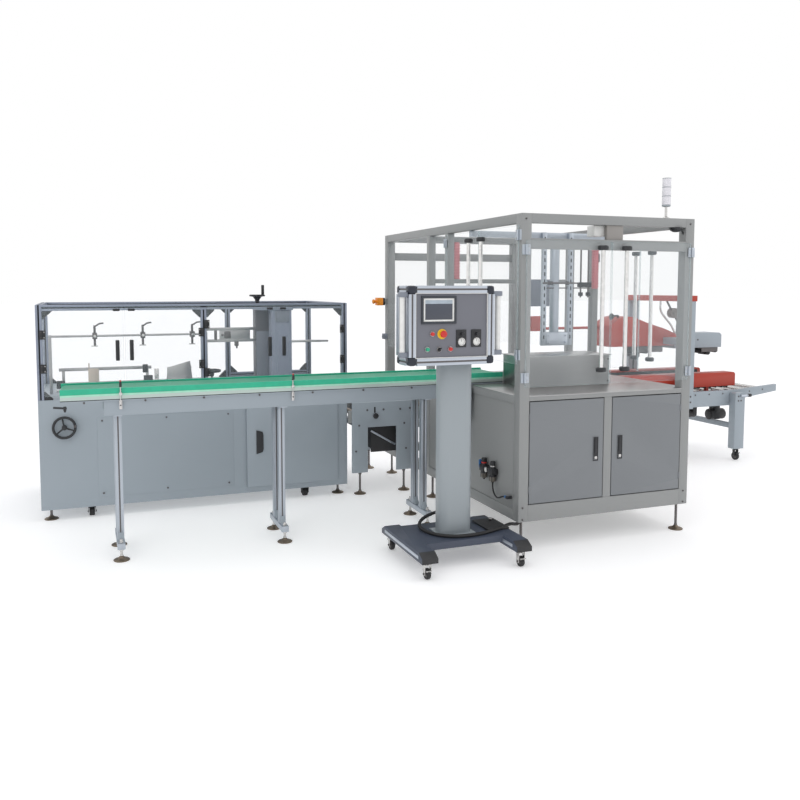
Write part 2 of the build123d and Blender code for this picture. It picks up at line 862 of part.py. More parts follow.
erector_axis_y = erector_front - hinge_reach
hinge_step = profile / 2 - erector_plate - 2
bays = (
    ("a", erector_left + profile - hinge_step, near_middle_post + hinge_step),
    ("b", near_middle_post + profile - hinge_step, erector_right - profile + hinge_step),
)
erector_axes = []
for bay, bay_start, bay_end in bays:
    width = (bay_end - bay_start - leaf_gap) / 2 - hinge_edge
    for name, axis_x, side in ((f"{bay}_left", bay_start, 1), (f"{bay}_right", bay_end, -1)):
        erector_axes.append((axis_x, side))
        with BuildPart() as erector_leaf:
            guard_leaf(axis_x, erector_axis_y, erector_guard_low, erector_guard_high, width, 0, side, erector_plate)
            along = hinge_edge + width - small_handle_inset
            pull_handle(axis_x, erector_axis_y, small_handle_low, small_handle_high, 0, side, along)
        save(erector_leaf, f"erector_leaf_{name}")

with BuildPart() as erector_hinges:
    for axis_x, side in erector_axes:
        for z in (erector_guard_low + hinge_inset, erector_guard_high - hinge_inset - hinge_length):
            hinge_fixed(axis_x, erector_axis_y, z, 0, side, erector_plate)
save(erector_hinges, "erector_hinges")

with BuildPart() as casters:
    for x in (erector_left + erector_caster_inset, erector_right - erector_caster_inset):
        for y in (erector_front + erector_foot_inset, erector_back - erector_foot_inset):
            caster(x, y, erector_bottom, erector_caster_radius, erector_caster_width)
    for x in (sealer_start + sealer_leg_inset + sealer_leg_width / 2, sealer_end - sealer_leg_width / 2):
        for y in (sealer_front - sealer_leg_depth / 2, sealer_back + sealer_leg_depth / 2):
            caster(x, y, sealer_leg_bottom, sealer_caster_radius, sealer_caster_width)
    for x in (stand_x - stand_width / 2, stand_x + stand_width / 2):
        for y in (stand_front + stand_caster_inset, stand_back - stand_caster_inset):
            caster(x, y, stand_rail_bottom, stand_caster_radius, stand_caster_width)
save(casters, "casters")

with BuildPart() as case_magazine:
    rod_start = magazine_left + magazine_post + fit_gap
    rod_end = magazine_right - magazine_post - fit_gap
    rod_x(rod_start, rod_end, magazine_rod_y, magazine_rod_height, magazine_rod_radius)
    for x in (magazine_left, magazine_right - magazine_post):
        block(
            x, x + magazine_post, magazine_rod_y - magazine_post / 2, magazine_rod_y + magazine_post / 2,
            erector_table, magazine_rod_height + magazine_post / 2,
        )
    for x in magazine_clamps:
        block(
            x - clamp_width / 2, x + clamp_width / 2, magazine_rod_y - clamp_depth / 2,
            magazine_rod_y + clamp_depth / 2, magazine_rod_height - clamp_height / 2,
            magazine_rod_height + clamp_height / 2,
        )
    for y, height in ((magazine_rail_front, magazine_low_rail), (magazine_rail_back, magazine_high_rail)):
        rail_x0 = magazine_left + magazine_rail_inset
        rail_x1 = rail_x0 + magazine_rail_length
        block(rail_x0, rail_x1, y, y + magazine_post, height - magazine_rail_height / 2, height + magazine_rail_height / 2)
        post_top = height - magazine_rail_height / 2 - fit_gap
        for x in (rail_x0 + magazine_post, rail_x1 - 2 * magazine_post):
            block(x, x + magazine_post, y, y + magazine_post, erector_table, post_top)
    for x in magazine_clamps:
        for low, high in (
            (magazine_rod_height - clamp_bar, magazine_rod_height - clamp_height / 2 - fit_gap),
            (magazine_rod_height + clamp_height / 2 + fit_gap, magazine_rod_height + clamp_bar),
        ):
            facet_bar(Plane((x, magazine_rod_y, low)), clamp_bar_radius, high - low, stem_sides)
    plate_front = magazine_rail_front + magazine_post + fit_gap
    plate_back = plate_front + guide_thickness
    block(guide_left, guide_left + guide_width, plate_front, plate_back, erector_table, guide_top)
    with BuildSketch(Plane.XZ.offset(-plate_front)):
        with BuildLine():
            Polyline(
                (stop_plate_left, erector_table), (stop_plate_right, erector_table), (stop_plate_peak, stop_plate_top),
                (stop_plate_left, stop_plate_low),
                close=True,
            )
        make_face()
    extrude(amount=-guide_thickness)
save(case_magazine, "case_magazine")

with BuildPart() as forming_tower:
    block(tower_left, tower_left + tower_rear_width, tower_rear_y, tower_rear_y + tower_depth, erector_table, tower_head)
    block(tower_front_x, tower_right, tower_front_y, tower_front_y + tower_depth, erector_table, tower_head)
    block(
        tower_left - tower_lip, tower_right + tower_lip, tower_front_y - tower_lip,
        tower_rear_y + tower_depth + tower_lip, tower_head + fit_gap, tower_head + tower_cap,
    )
    wheel_y = tower_rear_y + tower_depth / 2
    wheel_shaft_low = tower_head + tower_cap + fit_gap
    upright(tower_wheel_x, wheel_y, wheel_shaft_low, tower_wheel_height, tower_shaft_radius)
    wheel_top = tower_wheel_height + fit_gap + tower_wheel_thickness
    upright(tower_wheel_x, wheel_y, tower_wheel_height + fit_gap, wheel_top, tower_wheel_radius)
    grip_x = tower_wheel_x + tower_wheel_radius - 2 * tower_shaft_radius
    upright(grip_x, wheel_y, wheel_top + fit_gap, tower_grip_top, tower_shaft_radius)
save(forming_tower, "forming_tower")

with BuildPart() as forming_arm:
    arm_y = tower_rear_y + tower_depth / 2
    arm_front = arm_y - arm_depth / 2
    arm_back = arm_y + arm_depth / 2
    for low, high in ((arm_low_bar, arm_low_bar + arm_bar), (arm_high_bar, arm_high_bar + arm_bar)):
        block(arm_left, tower_left - fit_gap, arm_front, arm_back, low, high)
    box_low = arm_low_bar + arm_bar + fit_gap
    block(arm_box_left, arm_box_right, arm_front, arm_back, box_low, arm_high_bar - fit_gap)
    plate_y = tower_front_y + tower_depth / 2
    with BuildSketch(Plane.XY.offset(arm_plate_height - arm_plate_thickness / 2)):
        with BuildLine():
            Polyline(
                (tower_right + fit_gap, plate_y - arm_plate_depth / 2), (arm_plate_right, plate_y - arm_plate_depth / 2),
                (arm_plate_right - arm_plate_point, plate_y + arm_plate_depth / 2),
                (tower_right + fit_gap, plate_y + arm_plate_depth / 2),
                close=True,
            )
        make_face()
    extrude(amount=arm_plate_thickness)
save(forming_arm, "forming_arm")

with BuildPart() as front_handwheel:
    wheel_back = erector_front - wheel_boss
    wheel_front = wheel_back - wheel_thickness
    rod_y(wheel_x, wheel_back, erector_front - fit_gap, wheel_z, wheel_hub_radius)
    rod_y(wheel_x, wheel_front, wheel_back, wheel_z, wheel_radius)
    rod_y(wheel_x + wheel_grip_offset, wheel_front - wheel_grip_length, wheel_front, wheel_z, wheel_grip_radius)
    with Locations(Location((wheel_x, (wheel_front + wheel_back) / 2, wheel_z), (90, 0, 0))):
        with PolarLocations(wheel_window_offset, 3, start_angle=90):
            Cylinder(wheel_window_radius, wheel_thickness, mode=Mode.SUBTRACT)
save(front_handwheel, "front_handwheel")

# Transfer section and case lane
with BuildPart() as transfer_plates:
    for y in (lane_front, lane_far):
        with BuildSketch(Plane.XZ.offset(-y)):
            with Locations(((transfer_left + transfer_right) / 2, (transfer_plate_bottom + transfer_plate_top) / 2)):
                Rectangle(transfer_right - transfer_left, transfer_plate_top - transfer_plate_bottom)
            opening_low = transfer_plate_bottom
            with Locations(((transfer_left + transfer_right) / 2, (opening_low + transfer_opening_top) / 2)):
                opening_width = transfer_right - transfer_left - 2 * transfer_leg
                Rectangle(opening_width, transfer_opening_top - opening_low, mode=Mode.SUBTRACT)
        extrude(amount=-transfer_plate_thickness)
    for x in (transfer_left + transfer_leg / 2, transfer_right - transfer_leg / 2):
        half = transfer_tie / 2
        tie_low = lane_low - lane_rest_height
        block(x - half, x + half, lane_rail_front + fit_gap, lane_far - fit_gap, tie_low, lane_low)
save(transfer_plates, "transfer_plates")

with BuildPart() as case_lane:
    for y in (lane_rail_front, lane_rail_back - lane_plate_thickness):
        block(lane_start, lane_end, y, y + lane_plate_thickness, lane_low, lane_top)
save(case_lane, "case_lane")

with BuildPart() as lane_rollers:
    count = int((lane_end - lane_start) / roller_pitch)
    for index in range(count):
        x = lane_start + roller_pitch * (index + 0.5)
        near = lane_rail_front + lane_plate_thickness
        far = lane_rail_back - lane_plate_thickness
        roller_plane = Plane((x, near, lane_top - roller_drop), z_dir=(0, 1, 0))
        facet_bar(roller_plane, roller_radius, far - near, roller_sides)
save(lane_rollers, "lane_rollers")

# Case sealer
sealer_cross_top = sealer_bed_bottom + 60
sealer_roller_first = sealer_start + sealer_roller_inset
sealer_cross_places = [sealer_roller_first + sealer_roller_pitch * (gap + 0.5) for gap in (1, 9)]
with BuildPart() as sealer_bed:
    for y in (sealer_front, sealer_back - sealer_plate):
        block(sealer_start, sealer_end, y, y + sealer_plate, sealer_bed_bottom, sealer_bed_top)
        with BuildSketch(Plane.XZ.offset(-y)):
            with BuildLine():
                Polyline(
                    (sealer_end + fit_gap, outlet_root), (outlet_flat, outlet_root), (outlet_end, outlet_low),
                    (outlet_end, outlet_high), (sealer_end + fit_gap, sealer_bed_top),
                    close=True,
                )
            make_face()
        extrude(amount=-sealer_plate)
    cross_front = sealer_front + sealer_plate + fit_gap
    cross_back = sealer_back - sealer_plate - fit_gap
    cross_end = sealer_start + sealer_cross_width
    block(sealer_start, cross_end, cross_front, cross_back, sealer_bed_bottom, lane_low + sealer_cross_width)
    for x in sealer_cross_places:
        half = sealer_cross_width / 2
        block(x - half, x + half, cross_front, cross_back, sealer_bed_bottom, sealer_cross_top)
save(sealer_bed, "sealer_bed")

with BuildPart() as sealer_rollers:
    near = sealer_front + sealer_plate
    for index in range(14):
        x = sealer_roller_first + sealer_roller_pitch * index
        rise = max(0, x - sealer_end) * (outlet_high - sealer_bed_top) / (outlet_end - sealer_end)
        roller_plane = Plane((x, near, sealer_bed_top + rise - roller_drop), z_dir=(0, 1, 0))
        facet_bar(roller_plane, sealer_roller_radius, sealer_width - 2 * sealer_plate, roller_sides)
save(sealer_rollers, "sealer_rollers")

with BuildPart() as sealer_legs:
    for x in (sealer_start + sealer_leg_inset, sealer_end - sealer_leg_width):
        for y in (sealer_front - sealer_leg_depth - fit_gap, sealer_back + fit_gap):
            block(x, x + sealer_leg_width, y, y + sealer_leg_depth, sealer_leg_bottom, sealer_leg_top)
        tie_middle = x + sealer_leg_width / 2
        half = sealer_cross_width / 2
        block(tie_middle - half, tie_middle + half, sealer_front, sealer_back, sealer_tie_low, sealer_tie_high)
    fillet(sealer_legs.edges().filter_by(Axis.Y).filter_by_position(Axis.Z, sealer_leg_top, sealer_leg_top), sealer_leg_round)
save(sealer_legs, "sealer_legs")

with BuildPart() as side_drives:
    for y in (sealer_front + drive_inset, sealer_back - drive_inset - drive_width):
        with Locations(((drive_start + drive_end) / 2, y + drive_width / 2, (drive_bottom + drive_top) / 2)):
            Box(drive_end - drive_start, drive_width, drive_top - drive_bottom)
        for x in sealer_cross_places:
            half = drive_bracket / 2
            middle = y + drive_width / 2
            block(x - half, x + half, middle - half, middle + half, sealer_cross_top, drive_bottom - fit_gap)
    fillet(side_drives.edges().filter_by(Axis.Y).group_by(Axis.X)[-1].group_by(Axis.Z)[-1], drive_round)
save(side_drives, "side_drives")

with BuildPart() as sealer_masts:
    for y in (sealer_front - mast_depth, sealer_back):
        block(mast_x, mast_x + mast_width, y, y + mast_depth, sealer_bed_bottom, mast_top)
save(sealer_masts, "sealer_masts")

with BuildPart() as sealer_crossbar:
    block(
        mast_x - crossbar_lap, mast_x + mast_width + crossbar_lap, sealer_front - mast_depth,
        sealer_back + mast_depth, mast_top, mast_top + crossbar_height,
    )
save(sealer_crossbar, "sealer_crossbar")

with BuildPart() as sealer_head:
    head_front = sealer_middle - head_width / 2
    head_left = cover_end + fit_gap
    block(head_left, head_end, head_front, head_front + head_width, head_bottom, head_top)
    chamfer(sealer_head.edges().filter_by(Axis.Y).group_by(Axis.X)[-1].group_by(Axis.Z)[-1], head_chamfer)
    cover_front = sealer_middle - cover_width / 2
    cover_back = sealer_middle + cover_width / 2
    for near, far in ((sealer_front, cover_front - fit_gap), (cover_back + fit_gap, sealer_back)):
        block(mast_x, mast_x + mast_width, near, far, head_arm_low, head_arm_high)
save(sealer_head, "sealer_head")

with BuildPart() as head_cover:
    with BuildSketch(Plane.XZ.offset(-cover_front)):
        with BuildLine():
            Spline(*cover_profile)
            Polyline(cover_profile[-1], (cover_end, cover_low), (cover_start, cover_low), cover_profile[0])
        make_face()
    extrude(amount=-cover_width)
    tip_front = sealer_middle + tip_width / 2
    rod_x(tip_right + fit_gap, cover_start - fit_gap, tip_front + tip_width / 2, tip_rod_height, tip_rod_radius)
    block(tip_left, tip_right, tip_front, tip_front + tip_width, tip_low, tip_high)
save(head_cover, "head_cover")

# Control console
with BuildPart() as stand_base:
    for x in (stand_x - stand_width / 2, stand_x + stand_width / 2):
        with BuildSketch(Plane.YZ.offset(x - stand_rail_width / 2)):
            with BuildLine():
                Polyline(
                    (stand_front, stand_rail_bottom), (stand_back, stand_rail_bottom),
                    (stand_back, stand_rail_bottom + stand_nose), (stand_back - stand_slant, stand_top),
                    (stand_front + stand_slant, stand_top), (stand_front, stand_rail_bottom + stand_nose),
                    close=True,
                )
            make_face()
        extrude(amount=stand_rail_width)
    inner = stand_width / 2 - stand_rail_width / 2
    plate_low = stand_top - stand_plate_thickness
    block(stand_x - inner, stand_x + inner, stand_plate_front, stand_plate_back, plate_low, stand_top)
save(stand_base, "stand_base")

with BuildPart() as console_column:
    with BuildSketch(Plane.XY.offset(stand_top)):
        with Locations((stand_x, column_y)):
            RectangleRounded(column_width, column_depth, column_round)
    extrude(amount=console_bottom - stand_top)
    column_back = column_y + column_depth / 2
    rod_y(cable_route[0][0], column_back - 2, cable_route[0][1], cable_route[0][2], gland_radius)
save(console_column, "console_column")

def bend_radii(route):
    """Give each corner of a route the largest arc that its two runs allow."""
    radii = []
    for before, corner, after in zip(route, route[1:], route[2:]):
        first = Vector(*corner) - Vector(*before)
        second = Vector(*after) - Vector(*corner)
        half_turn = radians(first.get_angle(second)) / 2
        radii.append(0.45 * min(first.length, second.length) / tan(half_turn))
    return radii


def save_tube(route, radius, name):
    """Sweep a round tube along a route, print its bends and write it."""
    radii = bend_radii(route)
    with BuildPart() as tube:
        with BuildLine() as path:
            FilletPolyline(*route, radius=radii)
        with BuildSketch(Plane(origin=path.line @ 0, z_dir=path.line % 0)) as section:
            RegularPolygon(radius, stem_sides)
        sweep()
    length = path.wires()[0].length
    share = tube.part.volume / (section.sketch.area * length)
    print(name, "bends", [round(value) for value in radii], "length", round(length), "volume share", round(share, 4))
    save(tube, name)


save_tube(cable_route, cable_radius, "console_cable")
save_tube(hose_route, hose_radius, "air_hose")

with BuildPart() as console_box:
    console_left = stand_x - console_width / 2
    console_right = stand_x + console_width / 2
    console_back = console_front + console_depth
    console_top = console_bottom + console_height
    block(
        console_left + panel_recess, console_right - panel_recess, console_front + panel_recess,
        console_back - panel_recess, console_bottom + panel_recess, console_top - panel_recess,
    )
    for x in (console_left, console_right - console_bar):
        for y in (console_front, console_back - console_bar):
            block(x, x + console_bar, y, y + console_bar, console_bottom, console_top)
    for y in (console_front, console_back - console_bar):
        for z in (console_bottom, console_top - console_bar):
            block(console_left, console_right, y, y + console_bar, z, z + console_bar)
    for x in (console_left, console_right - console_bar):
        for z in (console_bottom, console_top - console_bar):
            block(x, x + console_bar, console_front, console_back, z, z + console_bar)
save(console_box, "console_box")
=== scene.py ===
import json
import math
import bmesh
import bpy
from mathutils import Matrix, Vector

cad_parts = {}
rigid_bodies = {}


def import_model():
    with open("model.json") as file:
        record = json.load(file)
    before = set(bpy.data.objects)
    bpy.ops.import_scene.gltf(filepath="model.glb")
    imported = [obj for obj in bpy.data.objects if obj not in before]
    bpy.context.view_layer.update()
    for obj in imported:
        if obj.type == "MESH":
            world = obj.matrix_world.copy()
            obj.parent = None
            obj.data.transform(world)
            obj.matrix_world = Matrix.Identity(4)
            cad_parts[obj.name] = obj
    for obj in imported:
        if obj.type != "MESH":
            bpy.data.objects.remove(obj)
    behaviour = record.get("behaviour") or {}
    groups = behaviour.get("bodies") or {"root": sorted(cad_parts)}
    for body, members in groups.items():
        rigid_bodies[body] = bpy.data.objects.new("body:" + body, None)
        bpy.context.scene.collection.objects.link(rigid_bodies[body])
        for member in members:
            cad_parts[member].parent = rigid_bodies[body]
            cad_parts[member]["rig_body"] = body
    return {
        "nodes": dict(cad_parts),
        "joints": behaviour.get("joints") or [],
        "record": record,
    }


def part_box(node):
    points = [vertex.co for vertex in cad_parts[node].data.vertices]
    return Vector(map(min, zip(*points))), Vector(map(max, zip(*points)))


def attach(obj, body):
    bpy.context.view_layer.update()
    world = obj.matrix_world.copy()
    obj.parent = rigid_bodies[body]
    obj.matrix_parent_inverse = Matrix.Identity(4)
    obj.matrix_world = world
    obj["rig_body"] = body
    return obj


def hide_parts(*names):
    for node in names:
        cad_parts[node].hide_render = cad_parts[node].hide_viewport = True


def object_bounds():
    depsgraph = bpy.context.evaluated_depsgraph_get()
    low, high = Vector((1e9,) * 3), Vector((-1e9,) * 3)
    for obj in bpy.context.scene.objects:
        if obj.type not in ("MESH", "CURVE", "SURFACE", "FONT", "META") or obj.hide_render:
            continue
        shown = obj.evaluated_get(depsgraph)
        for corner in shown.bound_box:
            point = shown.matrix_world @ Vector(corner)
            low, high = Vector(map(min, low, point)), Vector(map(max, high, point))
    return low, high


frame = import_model()
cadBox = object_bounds()
print("frame loaded:", len(frame["nodes"]), "nodes")

# Finishes. One wrapper for a socket, so that shader maths reads as plain expressions


class Wire:
    def __init__(self, finish, socket):
        self.finish = finish
        self.socket = socket

    def __add__(self, other):
        return self.finish.maths("ADD", self, other)

    def __radd__(self, other):
        return self.finish.maths("ADD", other, self)

    def __sub__(self, other):
        return self.finish.maths("SUBTRACT", self, other)

    def __rsub__(self, other):
        return self.finish.maths("SUBTRACT", other, self)

    def __mul__(self, other):
        return self.finish.maths("MULTIPLY", self, other)

    def __rmul__(self, other):
        return self.finish.maths("MULTIPLY", other, self)


class Finish:
    def __init__(self, name):
        self.material = bpy.data.materials.new(name)
        self.material.use_nodes = True
        self.tree = self.material.node_tree
        self.tree.nodes.clear()
        self.shader = self.node("ShaderNodeBsdfPrincipled")
        self.node("ShaderNodeOutputMaterial", {}, {"Surface": self.wire(self.shader)})
        self.place = self.wire(self.node("ShaderNodeTexCoord"), "Object")

    def node(self, kind, settings=None, values=None):
        made = self.tree.nodes.new(kind)
        for key, value in (settings or {}).items():
            setattr(made, key, value)
        for key, value in (values or {}).items():
            if isinstance(value, Wire):
                self.tree.links.new(value.socket, made.inputs[key])
            else:
                made.inputs[key].default_value = value
        return made

    def wire(self, node, output=0):
        return Wire(self, node.outputs[output])

    def maths(self, operation, first, second):
        return self.wire(self.node("ShaderNodeMath", {"operation": operation}, {0: first, 1: second}))

    def stretch(self, scale):
        return self.wire(self.node("ShaderNodeMapping", {}, {"Vector": self.place, "Scale": scale}))

    def noise(self, scale, detail=2, stretch=None):
        place = self.stretch(stretch) if stretch else self.place
        values = {"Vector": place, "Scale": scale, "Detail": detail}
        return self.wire(self.node("ShaderNodeTexNoise", {}, values))

    def mix(self, factor, first, second):
        values = {0: factor, 6: first, 7: second}
        return self.wire(self.node("ShaderNodeMix", {"data_type": "RGBA"}, values), 2)

    def bump(self, height, strength, distance):
        values = {"Height": height, "Strength": strength, "Distance": distance}
        return self.wire(self.node("ShaderNodeBump", {}, values))

    def give(self, **values):
        for key, value in values.items():
            socket = self.shader.inputs[key.replace("_", " ")]
            if isinstance(value, Wire):
                self.tree.links.new(value.socket, socket)
            else:
                socket.default_value = value
        return self.material


def tone(colour, share=1):
    return (*(min(1, channel * share) for channel in colour), 1)


def enamel(name, colour, rough=0.4, cloud=0.05, coat=0):
    # sprayed paint: faint clouds in the colour, orange peel in the gloss
    made = Finish(name)
    drift = made.noise(1.7, 3)
    peel = made.noise(420, 2)
    scuff = made.noise(9, 6)
    made.give(
        Base_Color=made.mix(drift, tone(colour, 1 - cloud), tone(colour, 1 + cloud)),
        Roughness=rough - 0.06 + 0.12 * scuff,
        Normal=made.bump(peel, 0.12, 0.0004),
    )
    return made.give(Coat_Weight=coat, Coat_Roughness=0.2)


def brushed(name, colour, rough, along, metal=1, lines=700):
    # rolled or drawn metal: fine lines along one axis of the frame
    made = Finish(name)
    stretch = tuple(0.012 if axis == along else 1 for axis in "XYZ")
    streak = made.noise(lines, 3, stretch)
    cloud = made.noise(5, 4)
    made.give(
        Base_Color=made.mix(streak, tone(colour, 0.86), tone(colour, 1.1)),
        Roughness=rough - 0.08 + 0.12 * streak + 0.08 * cloud,
        Normal=made.bump(streak, 0.16, 0.0004),
    )
    return made.give(Metallic=metal)


def plated(name, colour, rough):
    # bright plating: metal with cloudy patches
    made = Finish(name)
    patch = made.noise(60, 5)
    made.give(
        Base_Color=made.mix(patch, tone(colour, 0.75), tone(colour, 1.15)),
        Roughness=rough - 0.07 + 0.16 * patch,
        Normal=made.bump(made.noise(500, 2), 0.08, 0.0003),
    )
    return made.give(Metallic=1)


def moulded(name, colour, rough=0.45, grain=900, depth=0.25):
    # moulded plastic or rubber with a fine spark grain
    made = Finish(name)
    spark = made.noise(grain, 3)
    cloud = made.noise(25, 3)
    made.give(
        Base_Color=made.mix(cloud, tone(colour, 0.85), tone(colour, 1.2)),
        Roughness=rough - 0.05 + 0.12 * cloud,
        Normal=made.bump(spark, depth, 0.0004),
    )
    return made.material


def clearSheet(name, colour, cover, haze):
    # acrylic: nearly clear, with a faint haze where it has been wiped
    made = Finish(name)
    wipe = made.noise(3, 5, (1, 1, 0.35))
    made.give(
        Base_Color=made.mix(wipe, tone(colour, 0.96), tone(colour, 1.04)),
        Alpha=cover + haze * wipe,
        Roughness=0.05 + 0.08 * wipe,
    )
    return made.give(IOR=1.49)


def beltWeave(name, colour):
    # smooth top belt with a fine pressed weave
    made = Finish(name)
    values = {"Vector": made.place, "Scale": 260, "Distortion": 0}
    rib = made.wire(made.node("ShaderNodeTexWave", {"bands_direction": "X"}, values), 1)
    cross = made.wire(made.node("ShaderNodeTexWave", {"bands_direction": "Y"}, values), 1)
    drift = made.noise(2.5, 5, (0.4, 3, 1))
    made.give(
        Base_Color=made.mix(drift, tone(colour, 0.86), tone(colour, 1.14)),
        Roughness=0.38 + 0.14 * drift,
        Normal=made.bump(rib * cross, 0.3, 0.0004),
    )
    return made.material


def screenGlass(name, colour):
    # an unlit panel screen, with a painted reflection that makes it a little brighter towards its top
    made = Finish(name)
    split = made.wire(made.node("ShaderNodeSeparateXYZ", {}, {0: made.place}), 2)
    # painted reflection: the base colour grows lighter with height
    paintedReflection = (split - 1.39) * 6
    made.give(
        Base_Color=made.mix(paintedReflection, tone(colour, 0.8), tone(colour, 1.35)),
        Roughness=0.12 + 0.04 * made.noise(40, 3),
    )
    return made.give(Coat_Weight=0.6)


def lampGlass(name, colour, cover):
    # ribbed translucent lens
    made = Finish(name)
    values = {"Vector": made.place, "Scale": 90, "Distortion": 0}
    ring = made.wire(made.node("ShaderNodeTexWave", {"bands_direction": "Z"}, values), 1)
    made.give(
        Base_Color=made.mix(ring, tone(colour, 0.86), tone(colour, 1.05)),
        Roughness=0.2 + 0.15 * ring,
        Normal=made.bump(ring, 0.35, 0.0008),
        Alpha=cover + 0.05 * ring,
    )
    return made.material


finishes = {
    "machine_paint": enamel("greyEnamel", (0.265, 0.272, 0.27), 0.42),
    "blue_grey_paint": enamel("blueGreyEnamel", (0.315, 0.36, 0.398), 0.42),
    "door_paint": enamel("doorEnamel", (0.19, 0.202, 0.214), 0.38),
    "aluminium_profile": brushed("anodisedAluminium", (0.44, 0.48, 0.53), 0.36, "Z", 0.8),
    "stainless_sheet": brushed("brushedStainless", (0.42, 0.42, 0.42), 0.3, "X"),
    "chromed_bar": plated("chromedBar", (0.8, 0.79, 0.78), 0.14),
    "zinc_steel": plated("zincSteel", (0.22, 0.18, 0.14), 0.4),
    "clear_acrylic": clearSheet("clearAcrylic", (0.78, 0.88, 0.92), 0.035, 0.03),
    "black_plastic": moulded("blackPlastic", (0.018, 0.019, 0.022)),
    "green_belt": beltWeave("greenBelt", (0.006, 0.27, 0.15)),
    "green_strip": moulded("greenStrip", (0.025, 0.42, 0.25), 0.5, 500, 0.1),
    "orange_paint": enamel("orangeEnamel", (0.38, 0.026, 0.007), 0.42, 0.06, 0.05),
    "slate_paint": enamel("slateEnamel", (0.05, 0.062, 0.092), 0.42, 0.08),
    "lamp_plastic": lampGlass("lampLens", (0.8, 0.79, 0.83), 0.88),
    "switch_orange": moulded("switchOrange", (0.78, 0.26, 0.012), 0.4),
    "black_rubber": moulded("blackRubber", (0.014, 0.014, 0.015), 0.62, 700, 0.3),
}
looks = {name: make(name, *values) for name, (make, *values) in {
    "acrylicEdge": (clearSheet, (0.6, 0.72, 0.74), 0.24, 0.08),
    "panelGrey": (enamel, (0.155, 0.16, 0.185), 0.46, 0.03),
    "cornerCap": (moulded, (0.012, 0.016, 0.028), 0.4),
    "screenRim": (moulded, (0.03, 0.035, 0.045), 0.35),
    "screenGlass": (screenGlass, (0.04, 0.048, 0.07)),
    "redPlastic": (moulded, (0.55, 0.025, 0.02), 0.3, 500, 0.05),
    "greenPlastic": (moulded, (0.02, 0.36, 0.2), 0.3, 500, 0.05),
    "yellowPlastic": (moulded, (0.8, 0.5, 0.02), 0.35, 500, 0.05),
    "bluePlastic": (moulded, (0.03, 0.16, 0.42), 0.4, 500, 0.05),
    "roseChain": (moulded, (0.55, 0.2, 0.22), 0.5, 300, 0.3),
    "darkSteel": (plated, (0.16, 0.15, 0.15), 0.42),
    "brightSteel": (plated, (0.62, 0.61, 0.6), 0.26),
    "shadowGap": (moulded, (0.012, 0.013, 0.014), 0.8, 300, 0.05),
    "smokedBowl": (lampGlass, (0.2, 0.18, 0.15), 0.8),
    "motorBlack": (moulded, (0.022, 0.022, 0.024), 0.5, 300, 0.3),
    "whitePlastic": (moulded, (0.72, 0.72, 0.7), 0.4, 500, 0.05),
    "columnEnamel": (enamel, (0.3, 0.335, 0.355), 0.36, 0.03, 0.1),
    "darkProfile": (brushed, (0.27, 0.3, 0.37), 0.38, "Z", 0.8),
    "lightProfile": (brushed, (0.5, 0.54, 0.6), 0.32, "X", 0.8),
    "towerGrey": (enamel, (0.2, 0.22, 0.26), 0.42, 0.04),
    "tanPlate": (brushed, (0.5, 0.44, 0.38), 0.34, "Z", 0.7),
    "screenBand": (moulded, (0.36, 0.42, 0.48), 0.2, 300, 0.02),
    "strutGrey": (enamel, (0.27, 0.255, 0.24), 0.45),
    "mintStrip": (moulded, (0.34, 0.66, 0.5), 0.45, 500, 0.05),
    "paleBand": (brushed, (0.47, 0.56, 0.52), 0.4, "X", 0.5),
    "towerBlue": (enamel, (0.235, 0.265, 0.335), 0.4, 0.04),
    "towerDark": (enamel, (0.085, 0.085, 0.1), 0.45, 0.05),
    "tapeBrown": (moulded, (0.16, 0.13, 0.11), 0.4, 300, 0.1),
}.items()}
nodeSlots = {part["node"]: part["material_slot"] for part in frame["record"]["subparts"]}
jointPlaces = {joint["name"]: joint["pos_m"] for joint in frame["joints"]}
print("finishes made:", len(finishes) + len(looks))

# Shapes. Each primitive is made and rounded by itself, then joined to the piece


def mm(*points):
    # points given in mm, as metres
    return [tuple(value / 1000 for value in point) for point in points]


def stretched(points, across, along):
    # a profile given in shares of a radius and a half width
    return [(a * across, b * along) for a, b in points]


def circle(radius, sides):
    angles = (2 * math.pi * index / sides for index in range(sides))
    return [(radius * math.cos(angle), radius * math.sin(angle)) for angle in angles]


